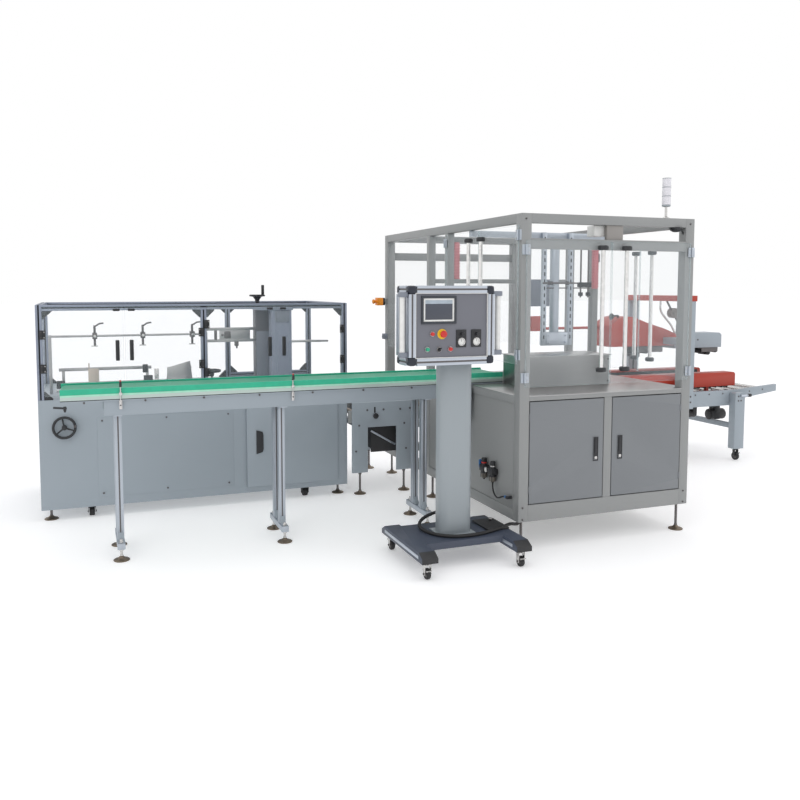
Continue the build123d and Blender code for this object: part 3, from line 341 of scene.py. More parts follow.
class Shape:
    def __init__(self):
        self.mesh = bmesh.new()

    def take(self, part, place=None):
        if place is not None:
            part.transform(place)
        scratch = bpy.data.meshes.new("scratch")
        part.to_mesh(scratch)
        part.free()
        self.mesh.from_mesh(scratch)
        bpy.data.meshes.remove(scratch)
        return self

    def box(self, low, high, rounding=0.0015, place=None):
        low, high = Vector(low), Vector(high)
        size, centre = high - low, (low + high) / 2
        part = bmesh.new()
        bmesh.ops.create_cube(part, size=1)
        for corner in part.verts:
            corner.co = Vector(a * b for a, b in zip(corner.co, size)) + centre
        width = min(rounding, 0.4 * min(abs(side) for side in size))
        if width > 0:
            bmesh.ops.bevel(part, geom=part.edges[:], offset=width, segments=2, profile=0.5, affect="EDGES")
        return self.take(part, place)

    def prism(self, outline, low, high, axis="Z", rounding=0.001, place=None):
        order = {
            "X": lambda a, b, c: (c, a, b), "Y": lambda a, b, c: (a, c, b), "Z": lambda a, b, c: (a, b, c),
        }[axis]
        part = bmesh.new()
        face = part.faces.new([part.verts.new(order(a, b, low)) for a, b in outline])
        made = bmesh.ops.extrude_face_region(part, geom=[face])["geom"]
        shift = Vector(order(0, 0, high - low))
        for corner in made:
            if isinstance(corner, bmesh.types.BMVert):
                corner.co += shift
        bmesh.ops.recalc_face_normals(part, faces=part.faces)
        if rounding:
            sharp = [e for e in part.edges if e.calc_face_angle(0) > 0.5]
            bmesh.ops.bevel(part, geom=sharp, offset=rounding, segments=2, profile=0.5, affect="EDGES")
        return self.take(part, place)

    def rod(self, start, end, radius, sides=24, rounding=0, endRadius=None, place=None):
        start, end = Vector(start), Vector(end)
        run = end - start
        part = bmesh.new()
        bmesh.ops.create_cone(
            part, cap_ends=True, segments=sides, radius1=radius,
            radius2=radius if endRadius is None else endRadius, depth=run.length)
        if rounding:
            rims = [e for e in part.edges if e.calc_face_angle(0) > 1]
            bmesh.ops.bevel(part, geom=rims, offset=rounding, segments=2, profile=0.5, affect="EDGES")
        turn = run.to_track_quat("Z", "Y").to_matrix().to_4x4()
        part.transform(Matrix.Translation((start + end) / 2) @ turn)
        return self.take(part, place)

    def turned(self, profile, origin, direction=(0, 0, 1), sides=32):
        # a profile of radius and height, turned round the direction at the origin
        part = bmesh.new()
        rings = []
        for radius, height in profile:
            if radius < 1e-6:
                rings.append([part.verts.new((0, 0, height))])
            else:
                rings.append([part.verts.new((x, y, height)) for x, y in circle(radius, sides)])
        for low, high in zip(rings, rings[1:]):
            for index in range(sides):
                follow = (index + 1) % sides
                if len(low) == 1:
                    part.faces.new((low[0], high[follow], high[index]))
                elif len(high) == 1:
                    part.faces.new((low[index], low[follow], high[0]))
                else:
                    part.faces.new((low[index], low[follow], high[follow], high[index]))
        bmesh.ops.recalc_face_normals(part, faces=part.faces)
        turn = Vector(direction).to_track_quat("Z", "Y").to_matrix().to_4x4()
        return self.take(part, Matrix.Translation(Vector(origin)) @ turn)

    def pipe(self, points, radius, sides=10, smooth=6):
        # a bar or wire bent along a soft line through the middles of its runs
        points = [Vector(point) for point in points]
        line = [points[0]]
        for before, corner, after in zip(points, points[1:], points[2:]):
            first, last = (before + corner) / 2, (corner + after) / 2
            for step in range(smooth + 1):
                share = step / smooth
                line.append(first * (1 - share) ** 2 + corner * 2 * share * (1 - share) + last * share ** 2)
        line.append(points[-1])
        part = bmesh.new()
        rings = []
        normal = None
        for index, point in enumerate(line):
            ahead = line[min(index + 1, len(line) - 1)] - line[max(index - 1, 0)]
            ahead.normalize()
            if normal is None:
                normal = ahead.orthogonal().normalized()
            normal = (normal - ahead * normal.dot(ahead)).normalized()
            other = ahead.cross(normal)
            rings.append([part.verts.new(point + x * normal + y * other) for x, y in circle(radius, sides)])
        for low, high in zip(rings, rings[1:]):
            for index in range(sides):
                follow = (index + 1) % sides
                part.faces.new((low[index], low[follow], high[follow], high[index]))
        part.faces.new(rings[0][::-1])
        part.faces.new(rings[-1])
        bmesh.ops.recalc_face_normals(part, faces=part.faces)
        return self.take(part)

    def around(self, x0, x1, z0, z1, edge, front, back, rounding):
        # a frame of four bars that faces the front
        for a, b, c, d in (
                (x0, x1, z0, z0 + edge), (x0, x1, z1 - edge, z1), (x0, x0 + edge, z0 + edge, z1 - edge),
                (x1 - edge, x1, z0 + edge, z1 - edge)):
            self.box((a, front, c), (b, back, d), rounding)

    def bolt(self, place, outward=(0, -1, 0), radius=0.006, height=0.004):
        # hexagon head with its washer
        outward = Vector(outward).normalized()
        place = Vector(place)
        self.rod(place, place + outward * height * 0.3, radius * 1.35, 16)
        return self.rod(place + outward * height * 0.3, place + outward * height, radius, 6, radius * 0.12)

    def socketScrew(self, place, outward=(0, -1, 0), radius=0.004):
        profile = ((0, 0.5), (0.5, 0.5), (0.55, 1), (0.9, 1), (1, 0.85), (1, 0), (0, 0))
        return self.turned(stretched(profile, radius, radius), place, outward, 14)


def piece(name, shape, look, body="frame", replaces=()):
    mesh = bpy.data.meshes.new(name)
    shape.mesh.to_mesh(mesh)
    shape.mesh.free()
    mesh.shade_smooth()
    mesh.set_sharp_from_angle(angle=math.radians(38))
    mesh.materials.append(finishes.get(look) or looks[look])
    made = bpy.data.objects.new(name, mesh)
    bpy.context.scene.collection.objects.link(made)
    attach(made, body)
    if replaces:
        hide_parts(*replaces)
    return made


def bodyOf(node):
    return frame["nodes"][node]["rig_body"]


def joinedCopy(node):
    # the node's own mesh, with its split corners joined
    copy = bmesh.new()
    copy.from_mesh(frame["nodes"][node].data)
    bmesh.ops.remove_doubles(copy, verts=copy.verts[:], dist=0.00002)
    return copy


def solidsOf(node):
    # the box of each separate solid of a node, as (low, high)
    copy = joinedCopy(node)
    seen, found = set(), []
    for seed in copy.verts:
        if seed in seen:
            continue
        group, queue = [], [seed]
        seen.add(seed)
        while queue:
            corner = queue.pop()
            group.append(corner.co.copy())
            for edge in corner.link_edges:
                other = edge.other_vert(corner)
                if other not in seen:
                    seen.add(other)
                    queue.append(other)
        low = Vector(min(point[axis] for point in group) for axis in range(3))
        high = Vector(max(point[axis] for point in group) for axis in range(3))
        found.append((low, high))
    copy.free()
    return sorted(found, key=lambda pair: tuple(round(value, 4) for value in pair[0]))


def softened(node, width=0.0015, look=None):
    # stands for a node of plain bars and plates, with every edge broken as on the real one
    shape = Shape()
    copy = joinedCopy(node)
    bmesh.ops.dissolve_limit(copy, angle_limit=math.radians(2), verts=copy.verts[:], edges=copy.edges[:])
    edges = [e for e in copy.edges if len(e.link_faces) == 2 and e.calc_face_angle(0) > 0.6]
    bmesh.ops.bevel(
        copy, geom=edges, offset=width, offset_type="WIDTH", segments=2, profile=0.5, affect="EDGES",
        clamp_overlap=True)
    shape.take(copy)
    slot = nodeSlots[node]
    return piece(node + "_skin", shape, look or slot, bodyOf(node), (node,))


def slottedBar(shape, low, high, slot=0.008, depth=0.006, place=None, dark=None):
    # an extruded profile with a groove down each side, along its longest axis; a dark strip on the groove's
    # floor is painted shade
    size = high - low
    span = max(range(3), key=lambda index: size[index])
    axis = "XYZ"[span]
    first, second = (index for index in range(3) if index != span)
    halfA, halfB = size[first] / 2, size[second] / 2
    midA, midB = (low[first] + high[first]) / 2, (low[second] + high[second]) / 2
    half = slot / 2
    outline = []
    for signA, signB in ((1, 1), (-1, 1), (-1, -1), (1, -1)):
        side = [(signA * halfA, signB * half), (signA * halfA, signB * halfB), (signA * half, signB * halfB),
                (signA * half, signB * (halfB - depth))]
        side.insert(0, (signA * (halfA - depth), signB * half))
        outline += side if signA * signB > 0 else side[::-1]
    outline = [(midA + a, midB + b) for a, b in outline]
    # painted shade: a thin dark strip on each groove's floor
    if dark:
        thin = 0.0004
        for signA, signB in ((1, 0), (-1, 0), (0, 1), (0, -1)):
            (a0, a1), (b0, b1) = (
                sorted((sign * (reach - depth), sign * (reach - depth + thin))) if sign else (-half, half)
                for sign, reach in ((signA, halfA), (signB, halfB)))
            strip = [(midA + a, midB + b) for a, b in ((a0, b0), (a1, b0), (a1, b1), (a0, b1))]
            dark.prism(strip, low[span] + 0.001, high[span] - 0.001, axis, 0, place)
    return shape.prism(outline, low[span], high[span], axis, 0.0006, place)


def screwSet(name, head, rows, look="darkSteel"):
    # rows of places, outward direction and the screw's own sizes; head is Shape.bolt or Shape.socketScrew
    shape = Shape()
    for spots, outward, *sizes in rows:
        for spot in spots:
            head(shape, spot, outward, *sizes)
    return piece(name, shape, look)


def bits(name, look, boxes=(), rods=(), rounding=0.0015):
    # small parts from their sizes in mm: boxes as x, x, y, y, z, z, rods as two ends and a radius
    shape = Shape()
    for x0, x1, y0, y1, z0, z1 in boxes:
        shape.box(*mm((x0, y0, z0), (x1, y1, z1)), rounding)
    for x0, y0, z0, x1, y1, z1, radius in rods:
        shape.rod(*mm((x0, y0, z0), (x1, y1, z1)), radius / 1000, 24, min(0.0015, radius / 4000))
    return piece(name, shape, look, "frame")


# Camera, at the photograph's viewing point

view = {
    "place": (-2.4481, -4.1727, 1.5701), "yaw": 20.64, "pitch": 4.45, "focus": 808.5,
    "centre": (384.52, 350.36), "side": 800, "sensor": 36,
}
camera = bpy.data.cameras.new("camera")
camera.sensor_width = view["sensor"]
camera.lens = view["focus"] / view["side"] * view["sensor"]
camera.shift_x = (view["side"] / 2 - view["centre"][0]) / view["side"]
camera.shift_y = (view["centre"][1] - view["side"] / 2) / view["side"]
camera.clip_end = 200
cameraObject = bpy.data.objects.new("camera", camera)
cameraObject.location = view["place"]
cameraObject.rotation_euler = (math.radians(90 - view["pitch"]), 0, math.radians(-view["yaw"]))
bpy.context.scene.collection.objects.link(cameraObject)
bpy.context.scene.camera = cameraObject

# Cords: the points of the CAD routes in metres, on one smooth line each

consoleCable = {
    "radius": 0.01, "length": 1.35,
    "route": [
        (-0.4, 0.098, 0.24), (-0.4, 0.15, 0.24), (-0.438, 0.194, 0.226), (-0.492, 0.215, 0.208),
        (-0.55, 0.206, 0.19), (-0.594, 0.168, 0.174), (-0.613, 0.11, 0.163), (-0.607, 0.045, 0.1602),
        (-0.583, -0.022, 0.1602), (-0.538, -0.08, 0.1602), (-0.47, -0.111, 0.1602), (-0.394, -0.118, 0.1602),
        (-0.315, -0.107, 0.1602), (-0.236, -0.084, 0.161), (-0.16, -0.054, 0.162), (-0.098, -0.012, 0.162),
        (-0.046, 0.032, 0.15), (0, 0.07, 0.131), (0.043, 0.107, 0.12), (0.081, 0.139, 0.13),
        (0.105, 0.16, 0.159), (0.105, 0.16, 0.205),
    ],
}
airHose = {
    "radius": 0.005, "length": 0.237,
    "route": [
        (-0.063, 0.243, 0.352), (-0.063, 0.243, 0.324), (-0.064, 0.229, 0.297), (-0.066, 0.204, 0.281),
        (-0.069, 0.173, 0.277), (-0.071, 0.142, 0.284), (-0.071, 0.112, 0.297), (-0.069, 0.084, 0.307),
        (-0.069, 0.059, 0.307),
    ],
}


def cordLine(name, cord, node):
    curve = bpy.data.curves.new(name, "CURVE")
    curve.dimensions = "3D"
    curve.bevel_depth = cord["radius"]
    curve.bevel_resolution = 5
    curve.resolution_u = 12
    curve.use_fill_caps = True
    spline = curve.splines.new("NURBS")
    spline.points.add(len(cord["route"]) - 1)
    for point, place in zip(spline.points, cord["route"]):
        point.co = (*place, 1)
    spline.order_u = 3
    spline.use_endpoint_u = True
    curve.materials.append(finishes["black_rubber"])
    made = bpy.data.objects.new(name, curve)
    bpy.context.scene.collection.objects.link(made)
    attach(made, "frame")
    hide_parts(node)
    return made


def pushFitting(name, place, outward):
    # push-in fitting: collet, hexagon and its shoulder on the wall
    shape = Shape().turned(
        mm((5.3, 16), (7.5, 16), (8.5, 13), (8.5, 8), (9.5, 7), (9.5, 3), (5.3, 3)), place, outward, 6)
    return piece(name, shape, "bluePlastic")


hoseEnd = pushFitting("hose_fitting", (-0.069, 0.059, 0.307), (0, 1, 0))
cordLine("cable_line", consoleCable, "console_cable")
cordLine("hose_line", airHose, "air_hose")
print("camera and cords made")

# Packer frame, cabinet and table

for node in ("packer_posts", "packer_rails", "cabinet_rails"):
    softened(node, 0.002)
softened("cabinet_panels")
softened("tabletop", 0.001)

cabinetDoor = {"face": -0.045, "cupWidth": 0.034, "cupHeight": 0.148, "cupLow": 0.51, "inset": 0.055}


def cabinetDoorDetail(node, x):
    # recessed latch and lock, on the middle line x of the latch
    body = bodyOf(node)
    softened(node)
    front = cabinetDoor["face"]
    bottom = cabinetDoor["cupLow"]
    top = bottom + cabinetDoor["cupHeight"]
    half = cabinetDoor["cupWidth"] / 2
    cup = Shape()
    for x0, x1, z0, z1 in (
            (x - half, x - half + 0.004, bottom, top), (x + half - 0.004, x + half, bottom, top),
            (x - half, x + half, bottom, bottom + 0.006), (x - half, x + half, top - 0.006, top)):
        cup.box((x0, front - 0.007, z0), (x1, front - 0.004, z1), 0.001)
    cup.box(
        (x - half + 0.004, front - 0.0055, bottom + 0.03), (x + half - 0.004, front - 0.0042, top - 0.006),
        0.0005)
    cup.box((x - 0.009, front - 0.0095, bottom + 0.05), (x + 0.009, front - 0.0055, top - 0.012), 0.002)
    piece(node + "_latch", cup, "black_plastic", body)
    lock = Shape().turned(
        mm((0, 3), (4, 3), (4.5, 4.5), (9, 4.5), (10, 3), (10, 0), (0, 0)),
        (x, front - 0.0045, bottom + 0.02), (0, -1, 0), 24)
    piece(node + "_lock", lock, "brightSteel", body)


cabinetDoorDetail("cabinet_door_left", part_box("cabinet_door_left")[1].x - cabinetDoor["inset"])
cabinetDoorDetail("cabinet_door_right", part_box("cabinet_door_right")[0].x + cabinetDoor["inset"])

# Guard leaves: clear sheet with polished edges, hinge plates, bar handle on its oval caps

leafSizes = {
    "face": 0.005, "sheet": 0.008, "rim": 0.0012, "edge": 0.0064, "plate": 0.022, "smallPlate": 0.015,
    "plateThick": 0.004, "hinge": 0.06, "hingeInset": 0.025, "bar": 0.0125, "capDepth": 0.055,
    "capWidth": 0.066, "capHeight": 0.028, "handleInset": 0.085, "catchInset": 0.045,
}
guard = {
    "seam": 0.5765, "seamY": (0.988 - 0.0214) / 2, "handle": (1.06, 1.82), "entryHandle": (1.17, 1.885),
    "smallHandle": (1.073, 1.214),
}
# measured heights of the small leaves' hinges
leafHinges = {
    "erector_sheet_a_left": (1.001, 1.227), "erector_sheet_a_right": (1.001, 1.227),
    "erector_sheet_b_left": (0.94, 1.282), "erector_sheet_b_right": (1.005, 1.233),
}


def guardLeaf(name, joint, turn, side, handle, node, replaced=(), inset=None):
    # local X runs along the leaf from its hinge axis, local -Y is outward; small leaves give a handle inset
    sizes = leafSizes
    body = bodyOf(node)
    lowCorner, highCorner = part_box(node)
    width = (highCorner - lowCorner)[1 if turn else 0]
    low, high = lowCorner.z, highCorner.z
    x, y, _ = jointPlaces[joint]
    place = Matrix.Translation((x, y, 0)) @ Matrix.Rotation(math.radians(turn), 4, "Z")
    x0, x1 = sorted((side * sizes["edge"], side * (sizes["edge"] + width)))
    inner, outer, rim = sizes["face"] + sizes["sheet"], sizes["face"], sizes["rim"]
    sheet = Shape().box((x0 + rim, outer, low + rim), (x1 - rim, inner, high - rim), 0, place)
    piece(name + "_sheet", sheet, "clear_acrylic", body, (node,))
    edge = Shape()
    for a, b, c, d in (
            (x0, x0 + rim, low, high), (x1 - rim, x1, low, high), (x0 + rim, x1 - rim, low, low + rim),
            (x0 + rim, x1 - rim, high - rim, high)):
        edge.box((a, outer, c), (b, inner, d), 0.0003, place)
    piece(name + "_edge", edge, "acrylicEdge", body)
    plate = sizes["smallPlate"] if inset else sizes["plate"]
    plateFace = outer - sizes["plateThick"]
    plates, screws = Shape(), Shape()
    ends = (low + sizes["hingeInset"], high - sizes["hingeInset"] - sizes["hinge"])
    for z in leafHinges.get(name, ends):
        a, b = sorted((side * sizes["edge"], side * (sizes["edge"] + plate)))
        plates.box((a, plateFace, z), (b, outer, z + sizes["hinge"]), 0.0015, place)
        for share in (0.2, 0.8):
            spot = place @ Vector(
                (side * (sizes["edge"] + plate * 0.55), plateFace, z + sizes["hinge"] * share))
            screws.socketScrew(spot, place.to_3x3() @ Vector((0, -1, 0)), 0.0035)
    hingeSlot = "black_plastic" if inset else "aluminium_profile"
    piece(name + "_plates", plates, hingeSlot, body)
    piece(name + "_screws", screws, "brightSteel", body)
    handleLow, handleHigh = handle
    bar, caps = Shape(), Shape()
    if inset:
        barX = side * (sizes["edge"] + width - inset)
        bar.box(
            (barX - 0.013, outer - 0.022, handleLow), (barX + 0.013, outer - 0.006, handleHigh), 0.005, place)
        for z in (handleLow + 0.004, handleHigh - 0.028):
            bar.box((barX - 0.011, outer - 0.008, z), (barX + 0.011, outer, z + 0.024), 0.002, place)
        catch = side * (sizes["edge"] + width - sizes["catchInset"])
        caps.box(
            (catch - 0.022, outer - 0.006, high - 0.03), (catch + 0.022, outer, high - 0.014), 0.002, place)
    else:
        seamAway = abs(guard["seamY"] - y) if turn else abs(guard["seam"] - x)
        barX, barY = side * (seamAway - sizes["handleInset"]), outer - sizes["capDepth"] / 2
        bar.rod(
            (barX, barY, handleLow + 0.02), (barX, barY, handleHigh - 0.02), sizes["bar"], 28, 0, None, place)
        oval = [
            (barX + a * sizes["capWidth"] / 2, barY + b * sizes["capDepth"] / 2) for a, b in circle(1, 20)]
        for z in (handleLow, handleHigh - sizes["capHeight"]):
            caps.prism(oval, z, z + sizes["capHeight"], "Z", 0.008, place)
    barSlot = "black_plastic" if inset else "chromed_bar"
    piece(name + "_bar", bar, barSlot, body, replaced)
    piece(name + "_caps", caps, "black_plastic", body)


for side, way in (("left", 1), ("right", -1)):
    guardLeaf(f"front_leaf_{side}", f"guard_{side}_hinge", 0, way, guard["handle"], f"guard_door_{side}",
              (f"guard_handle_{side}",))
for name, way in (("front", 1), ("rear", -1)):
    for family, turn, sign, handle in (("side", 90, way, "handle"), ("entry", -90, -way, "entryHandle")):
        guardLeaf(f"{family}_leaf_{name}", f"{family}_{name}_hinge", turn, sign, guard[handle],
                  f"{family}_door_{name}")
for bay, inset in (("a", 0.042), ("b", 0.048)):
    for side, way in (("left", 1), ("right", -1)):
        guardLeaf(f"erector_sheet_{bay}_{side}", f"erector_{bay}_{side}_hinge", 0, way, guard["smallHandle"],
                  f"erector_leaf_{bay}_{side}", (), inset)
print("guard leaves made")


def erectorHinges():
    # the post half of each small hinge, with its two screws
    blocks, screws = Shape(), Shape()
    columns = sorted({(round(low.x, 4), round(high.x, 4)) for low, high in solidsOf("erector_hinges")})
    low, high = solidsOf("erector_hinges")[0]
    for (x0, x1), heights in zip(columns, leafHinges.values()):
        for z in heights:
            blocks.box((x0, low.y, z), (x1, high.y, z + leafSizes["hinge"]), 0.002)
            for share in (0.2, 0.8):
                spot = ((x0 + x1) / 2, low.y + 0.0028, z + leafSizes["hinge"] * share)
                screws.socketScrew(spot, (0, -1, 0), 0.0035)
    piece("hinge_blocks", blocks, "black_plastic", "frame", ("erector_hinges",))
    piece("hinge_screws", screws, "darkSteel")


erectorHinges()
softened("packer_hinges", 0.0008)
softened("fixed_guards", 0.0006)

# Feet and casters

footSizes = {"rim": 0.005, "bell": 0.016, "neck": 0.015, "stem": 0.008, "nut": 0.013, "nutHeight": 0.01}


def footOn(bells, stems, x, y, radius, top):
    sizes = footSizes
    bells.turned(
        [(0, 0), (radius * 0.97, 0), (radius, 0.0015), (radius, sizes["rim"]), (radius * 0.9, 0.0085),
        (radius * 0.62, 0.0115), (radius * 0.42, sizes["bell"]), (sizes["neck"], 0.021),
        (sizes["stem"] + 0.002, 0.026), (0, 0.026)], (x, y, 0), sides=36)
    stems.rod((x, y, 0.02), (x, y, top), sizes["stem"], 16)
    pitch = 0.0045
    for turn in range(int((top - 0.05) / pitch)):
        z = 0.032 + pitch * turn
        stems.turned(
            [(sizes["stem"] * 0.99, z), (sizes["stem"] * 1.09, z + pitch * 0.5),
            (sizes["stem"] * 0.99, z + pitch)], (x, y, 0), sides=12)
    stems.rod((x, y, top - sizes["nutHeight"] - 0.002), (x, y, top - 0.002), sizes["nut"], 6, 0.001)
    stems.rod((x, y, 0.026), (x, y, 0.034), sizes["nut"] * 0.85, 6, 0.001)


bells, stems = Shape(), Shape()
for low, high in solidsOf("levelling_feet"):
    footOn(bells, stems, (low.x + high.x) / 2, (low.y + high.y) / 2, (high.x - low.x) / 2, high.z)
piece("foot_bells", bells, "zinc_steel", "frame", ("levelling_feet",))
piece("foot_stems", stems, "darkSteel", "frame")


def casterOn(shapes, low, high, pedal):
    # swivel plate, ball race, fork and wheel; the brake pedal is to the front, -1, to the rear, 1, or none, 0
    fork, tyre, hub, pedals = shapes
    x, y = (low.x + high.x) / 2, (low.y + high.y) / 2
    top = high.z
    radius = 0.03 if top < 0.1 else 0.038
    half = 0.018 if top < 0.08 else 0.012 if top < 0.1 else 0.013
    wide = 0.026 if top < 0.08 else 0.017
    fork.box((x - 0.028, y - 0.028, top - 0.004), (x + 0.028, y + 0.028, top), 0.002)
    fork.turned(
        [(0, top - 0.004), (0.021, top - 0.004), (0.023, top - 0.008), (0.021, top - 0.012),
        (0, top - 0.012)], (x, y, 0), sides=28)
    reach = top - 0.012
    for side in (-1, 1):
        sideX = x + side * (half + 0.006)
        outline = [(y - wide, reach), (y + wide, reach), (y + wide * 0.7, radius * 0.85), (y, radius * 0.6),
                   (y - wide * 0.7, radius * 0.85)]
        fork.prism(outline, sideX - 0.0015, sideX + 0.0015, "X", 0.0006)
        hub.bolt((x + side * (half + 0.0075), y, radius), (side, 0, 0), 0.0055, 0.005)
    fork.box((x - half - 0.0075, y - wide, reach - 0.003), (x + half + 0.0075, y + wide, reach), 0.001)
    rubber = ((0.62, -0.9), (0.9, -1), (1, -0.6), (1, 0.6), (0.9, 1), (0.62, 0.9))
    tyre.turned(stretched(rubber, radius, half), (x, y, radius), (1, 0, 0), 36)
    face = [(0, 0.8), (0.2, 1.05), (0.3, 0.75), (0.55, 0.7), (0.63, 0.9)]
    disc = stretched([(a, -b) for a, b in face] + face[::-1], radius, half)
    hub.turned(disc, (x, y, radius), (1, 0, 0), 28)
    if pedal:
        lever = ((0.014, 1.7), (0.04, 1.95), (0.043, 1.85), (0.022, 1.4), (0.014, 1.45))
        pedals.prism([(y + pedal * a, radius * b) for a, b in lever], x - 0.014, x + 0.014, "X", 0.001)


forks, tyres, hubs, pedals = Shape(), Shape(), Shape(), Shape()
standForks, standHubs = Shape(), Shape()
for low, high in solidsOf("casters"):
    if abs(high.z - 0.095) < 0.004:
        casterOn((standForks, tyres, standHubs, standForks), low, high, -1 if low.y < 0 else 1)
    else:
        casterOn((forks, tyres, hubs, pedals), low, high, -1 if high.z > 0.1 else 0)
piece("caster_forks", forks, "motorBlack", "frame", ("casters",))
piece("stand_forks", standForks, "brightSteel", "frame")
piece("caster_tyres", tyres, "black_rubber", "frame")
piece("caster_hubs", hubs, "darkSteel")
piece("stand_hubs", standHubs, "darkSteel")
piece("caster_pedals", pedals, "motorBlack")
print("feet and casters made")

# Infeed conveyor

softened("conveyor_frame", 0.001, "blue_grey_paint")
softened("conveyor_drive", 0.001)
for node in ("conveyor_belt", "edge_strips"):
    frame["nodes"][node].data.materials.clear()
    frame["nodes"][node].data.materials.append(finishes[nodeSlots[node]])

conveyor = {
    "upright": 0.04, "spread": 0.145, "barLow": 0.066, "barHigh": 0.102, "barHalf": 0.022, "footInset": 0.022,
    "head": 0.006, "plateLow": 0.845, "near": 0.61, "far": 0.952,
}


def conveyorSupport(x, metal, brackets, bells, stems, screws):
    sizes = conveyor
    middle = (sizes["near"] + sizes["far"]) / 2
    half = sizes["upright"] / 2
    for sign in (-1, 1):
        y = middle + sign * sizes["spread"] / 2
        # the grooves' dark strips of painted shade go into the screws shape, in dark steel
        slottedBar(
            metal, Vector((x - half, y - half, sizes["barHigh"])),
            Vector((x + half, y + half, sizes["plateLow"] - sizes["head"])), 0.008, 0.006, None, screws)
        for face in (-1, 1):
            brackets.prism(
                [(y + face * half, sizes["barHigh"]), (y + face * (half + 0.028), sizes["barHigh"]),
                (y + face * half, sizes["barHigh"] + 0.045)], x - 0.016, x + 0.016, "X", 0.001)
            screws.socketScrew(
                (x, y + face * (half + 0.006), sizes["barHigh"] + 0.026), (0, face, 0.6), 0.004)
    metal.box((x - sizes["barHalf"], sizes["near"], sizes["barLow"]),
              (x + sizes["barHalf"], sizes["far"], sizes["barHigh"]), 0.002)
    metal.box((x - sizes["barHalf"], sizes["near"] + 0.012, sizes["plateLow"] - sizes["head"]),
              (x + sizes["barHalf"], sizes["far"] - 0.012, sizes["plateLow"]), 0.001)
    for y in (sizes["near"] + sizes["footInset"], sizes["far"] - sizes["footInset"]):
        footOn(bells, stems, x, y, 0.046, sizes["barLow"])
        stems.rod((x, y, sizes["barHigh"]), (x, y, sizes["barHigh"] + 0.022), 0.008, 16, 0.001)
        stems.rod((x, y, sizes["barHigh"] + 0.001), (x, y, sizes["barHigh"] + 0.01), 0.013, 6, 0.001)


bars, brackets, bells, stems, screws = shapes = [Shape() for _ in range(5)]
for low, high in solidsOf("conveyor_supports"):
    if low.z < 0.01:
        conveyorSupport((low.x + high.x) / 2, *shapes)
piece("support_bars", bars, "aluminium_profile", "frame", ("conveyor_supports",))
piece("support_brackets", brackets, "blue_grey_paint", "frame")
piece("support_bells", bells, "zinc_steel", "frame")
piece("support_stems", stems, "brightSteel", "frame")
piece("support_screws", screws, "darkSteel")


def conveyorTrim():
    # bands and bolts along the side plates, sensors on their posts, end lever
    for name, look, low, high in (("mint_band", "mintStrip", 961, 971.6), ("pale_band", "paleBand", 941, 961),
                                  ("dark_band", "shadowGap", 937, 941)):
        bits(
            name, look, [(-2564.5, 204.5, *depth, low, high) for depth in ((608.6, 610), (952, 953.4))],
            rounding=0.0002)
    posts, heads = Shape(), Shape()
    for x in (-2.245, -1.245):
        posts.rod((x, 0.6045, 0.884), (x, 0.6045, 1.046), 0.004, 14)
        posts.box((x - 0.008, 0.602, 0.882), (x + 0.008, 0.6102, 0.934), 0.001)
        posts.box((x - 0.009, 0.598, 0.962), (x + 0.009, 0.6102, 0.978), 0.002)
        heads.box((x - 0.007, 0.586, 1.012), (x + 0.007, 0.601, 1.04), 0.002)
        heads.rod((x, 0.6045, 1.008), (x, 0.6045, 1.016), 0.007, 14, 0.001)
        heads.socketScrew((x, 0.602, 0.905), (0, -1, 0), 0.004)
    piece("sensor_posts", posts, "brightSteel", replaces=("product_sensors",))
    piece("sensor_heads", heads, "black_plastic", "frame")
    screwSet("side_screws", Shape.socketScrew, [
        ([(-2.44 + 0.33 * index, y, 0.926)], (0, way, 0), 0.006)
        for index in range(9) for y, way in ((conveyor["near"], -1), (conveyor["far"], 1))])
    bits(
        "end_lever", "black_plastic", ((-2548, -2532, 598, 610, 888, 912),),
        ((-2600, 602, 909, -2530, 602, 901, 6), (-2540, 604, 880, -2540, 604, 905, 6)))
    bits(
        "sensor_lamps", "redPlastic", (),
        ((-2245, 594, 1040, -2245, 594, 1049, 5), (-1245, 594, 1040, -1245, 594, 1049, 5)))


conveyorTrim()
print("conveyor made")

# Case erector


def cabinetTrim():
    # door latch and cover screws
    latch = mm((-1271.5, 535), (-1226.5, 522), (-1220, 500), (-1220, 395), (-1226.5, 373), (-1271.5, 360))
    piece("door_latch", Shape().prism(latch, 1.5864, 1.5945, "Y", 0.001), "black_plastic",
          bodyOf("erector_door"))
    spots = [(x, 1.612, z) for x in (-2.327, -1.9, -1.47) for z in (0.163, 0.665)]
    screwSet("cover_screws", Shape.socketScrew, [(spots, (0, -1, 0), 0.006)])


def clampLevers():
    # three clamps on the magazine rod, each with its bent lever and foot
    levers, feet = Shape(), Shape()
    for x in (-2.353, -2.023, -1.67):
        levers.rod((x, 1.955, 1.283), (x, 1.955, 1.3), 0.008, 16, 0.001)
        levers.pipe([(x - 0.006, 1.955, 1.292), (x + 0.012, 1.95, 1.297), (x + 0.03, 1.944, 1.313),
                     (x + 0.06, 1.936, 1.316)], 0.006)
        levers.rod((x, 1.955, 1.245), (x, 1.955, 1.29), 0.0085, 14, 0.001)
        levers.box((x - 0.016, 1.922, 1.203), (x + 0.016, 1.988, 1.247), 0.003)
        levers.rod((x, 1.955, 1.15), (x, 1.955, 1.205), 0.0085, 14, 0.001)
        feet.box((x - 0.024, 1.94, 1.148), (x + 0.02, 1.97, 1.156), 0.002)
        feet.turned(mm((0, -16), (10, -15), (12, 0), (10, 15), (0, 16)), (x, 1.921, 1.225), (0, -1, 0), 20)
    piece("clamp_levers", levers, "darkSteel")
    piece("clamp_feet", feet, "brightSteel")


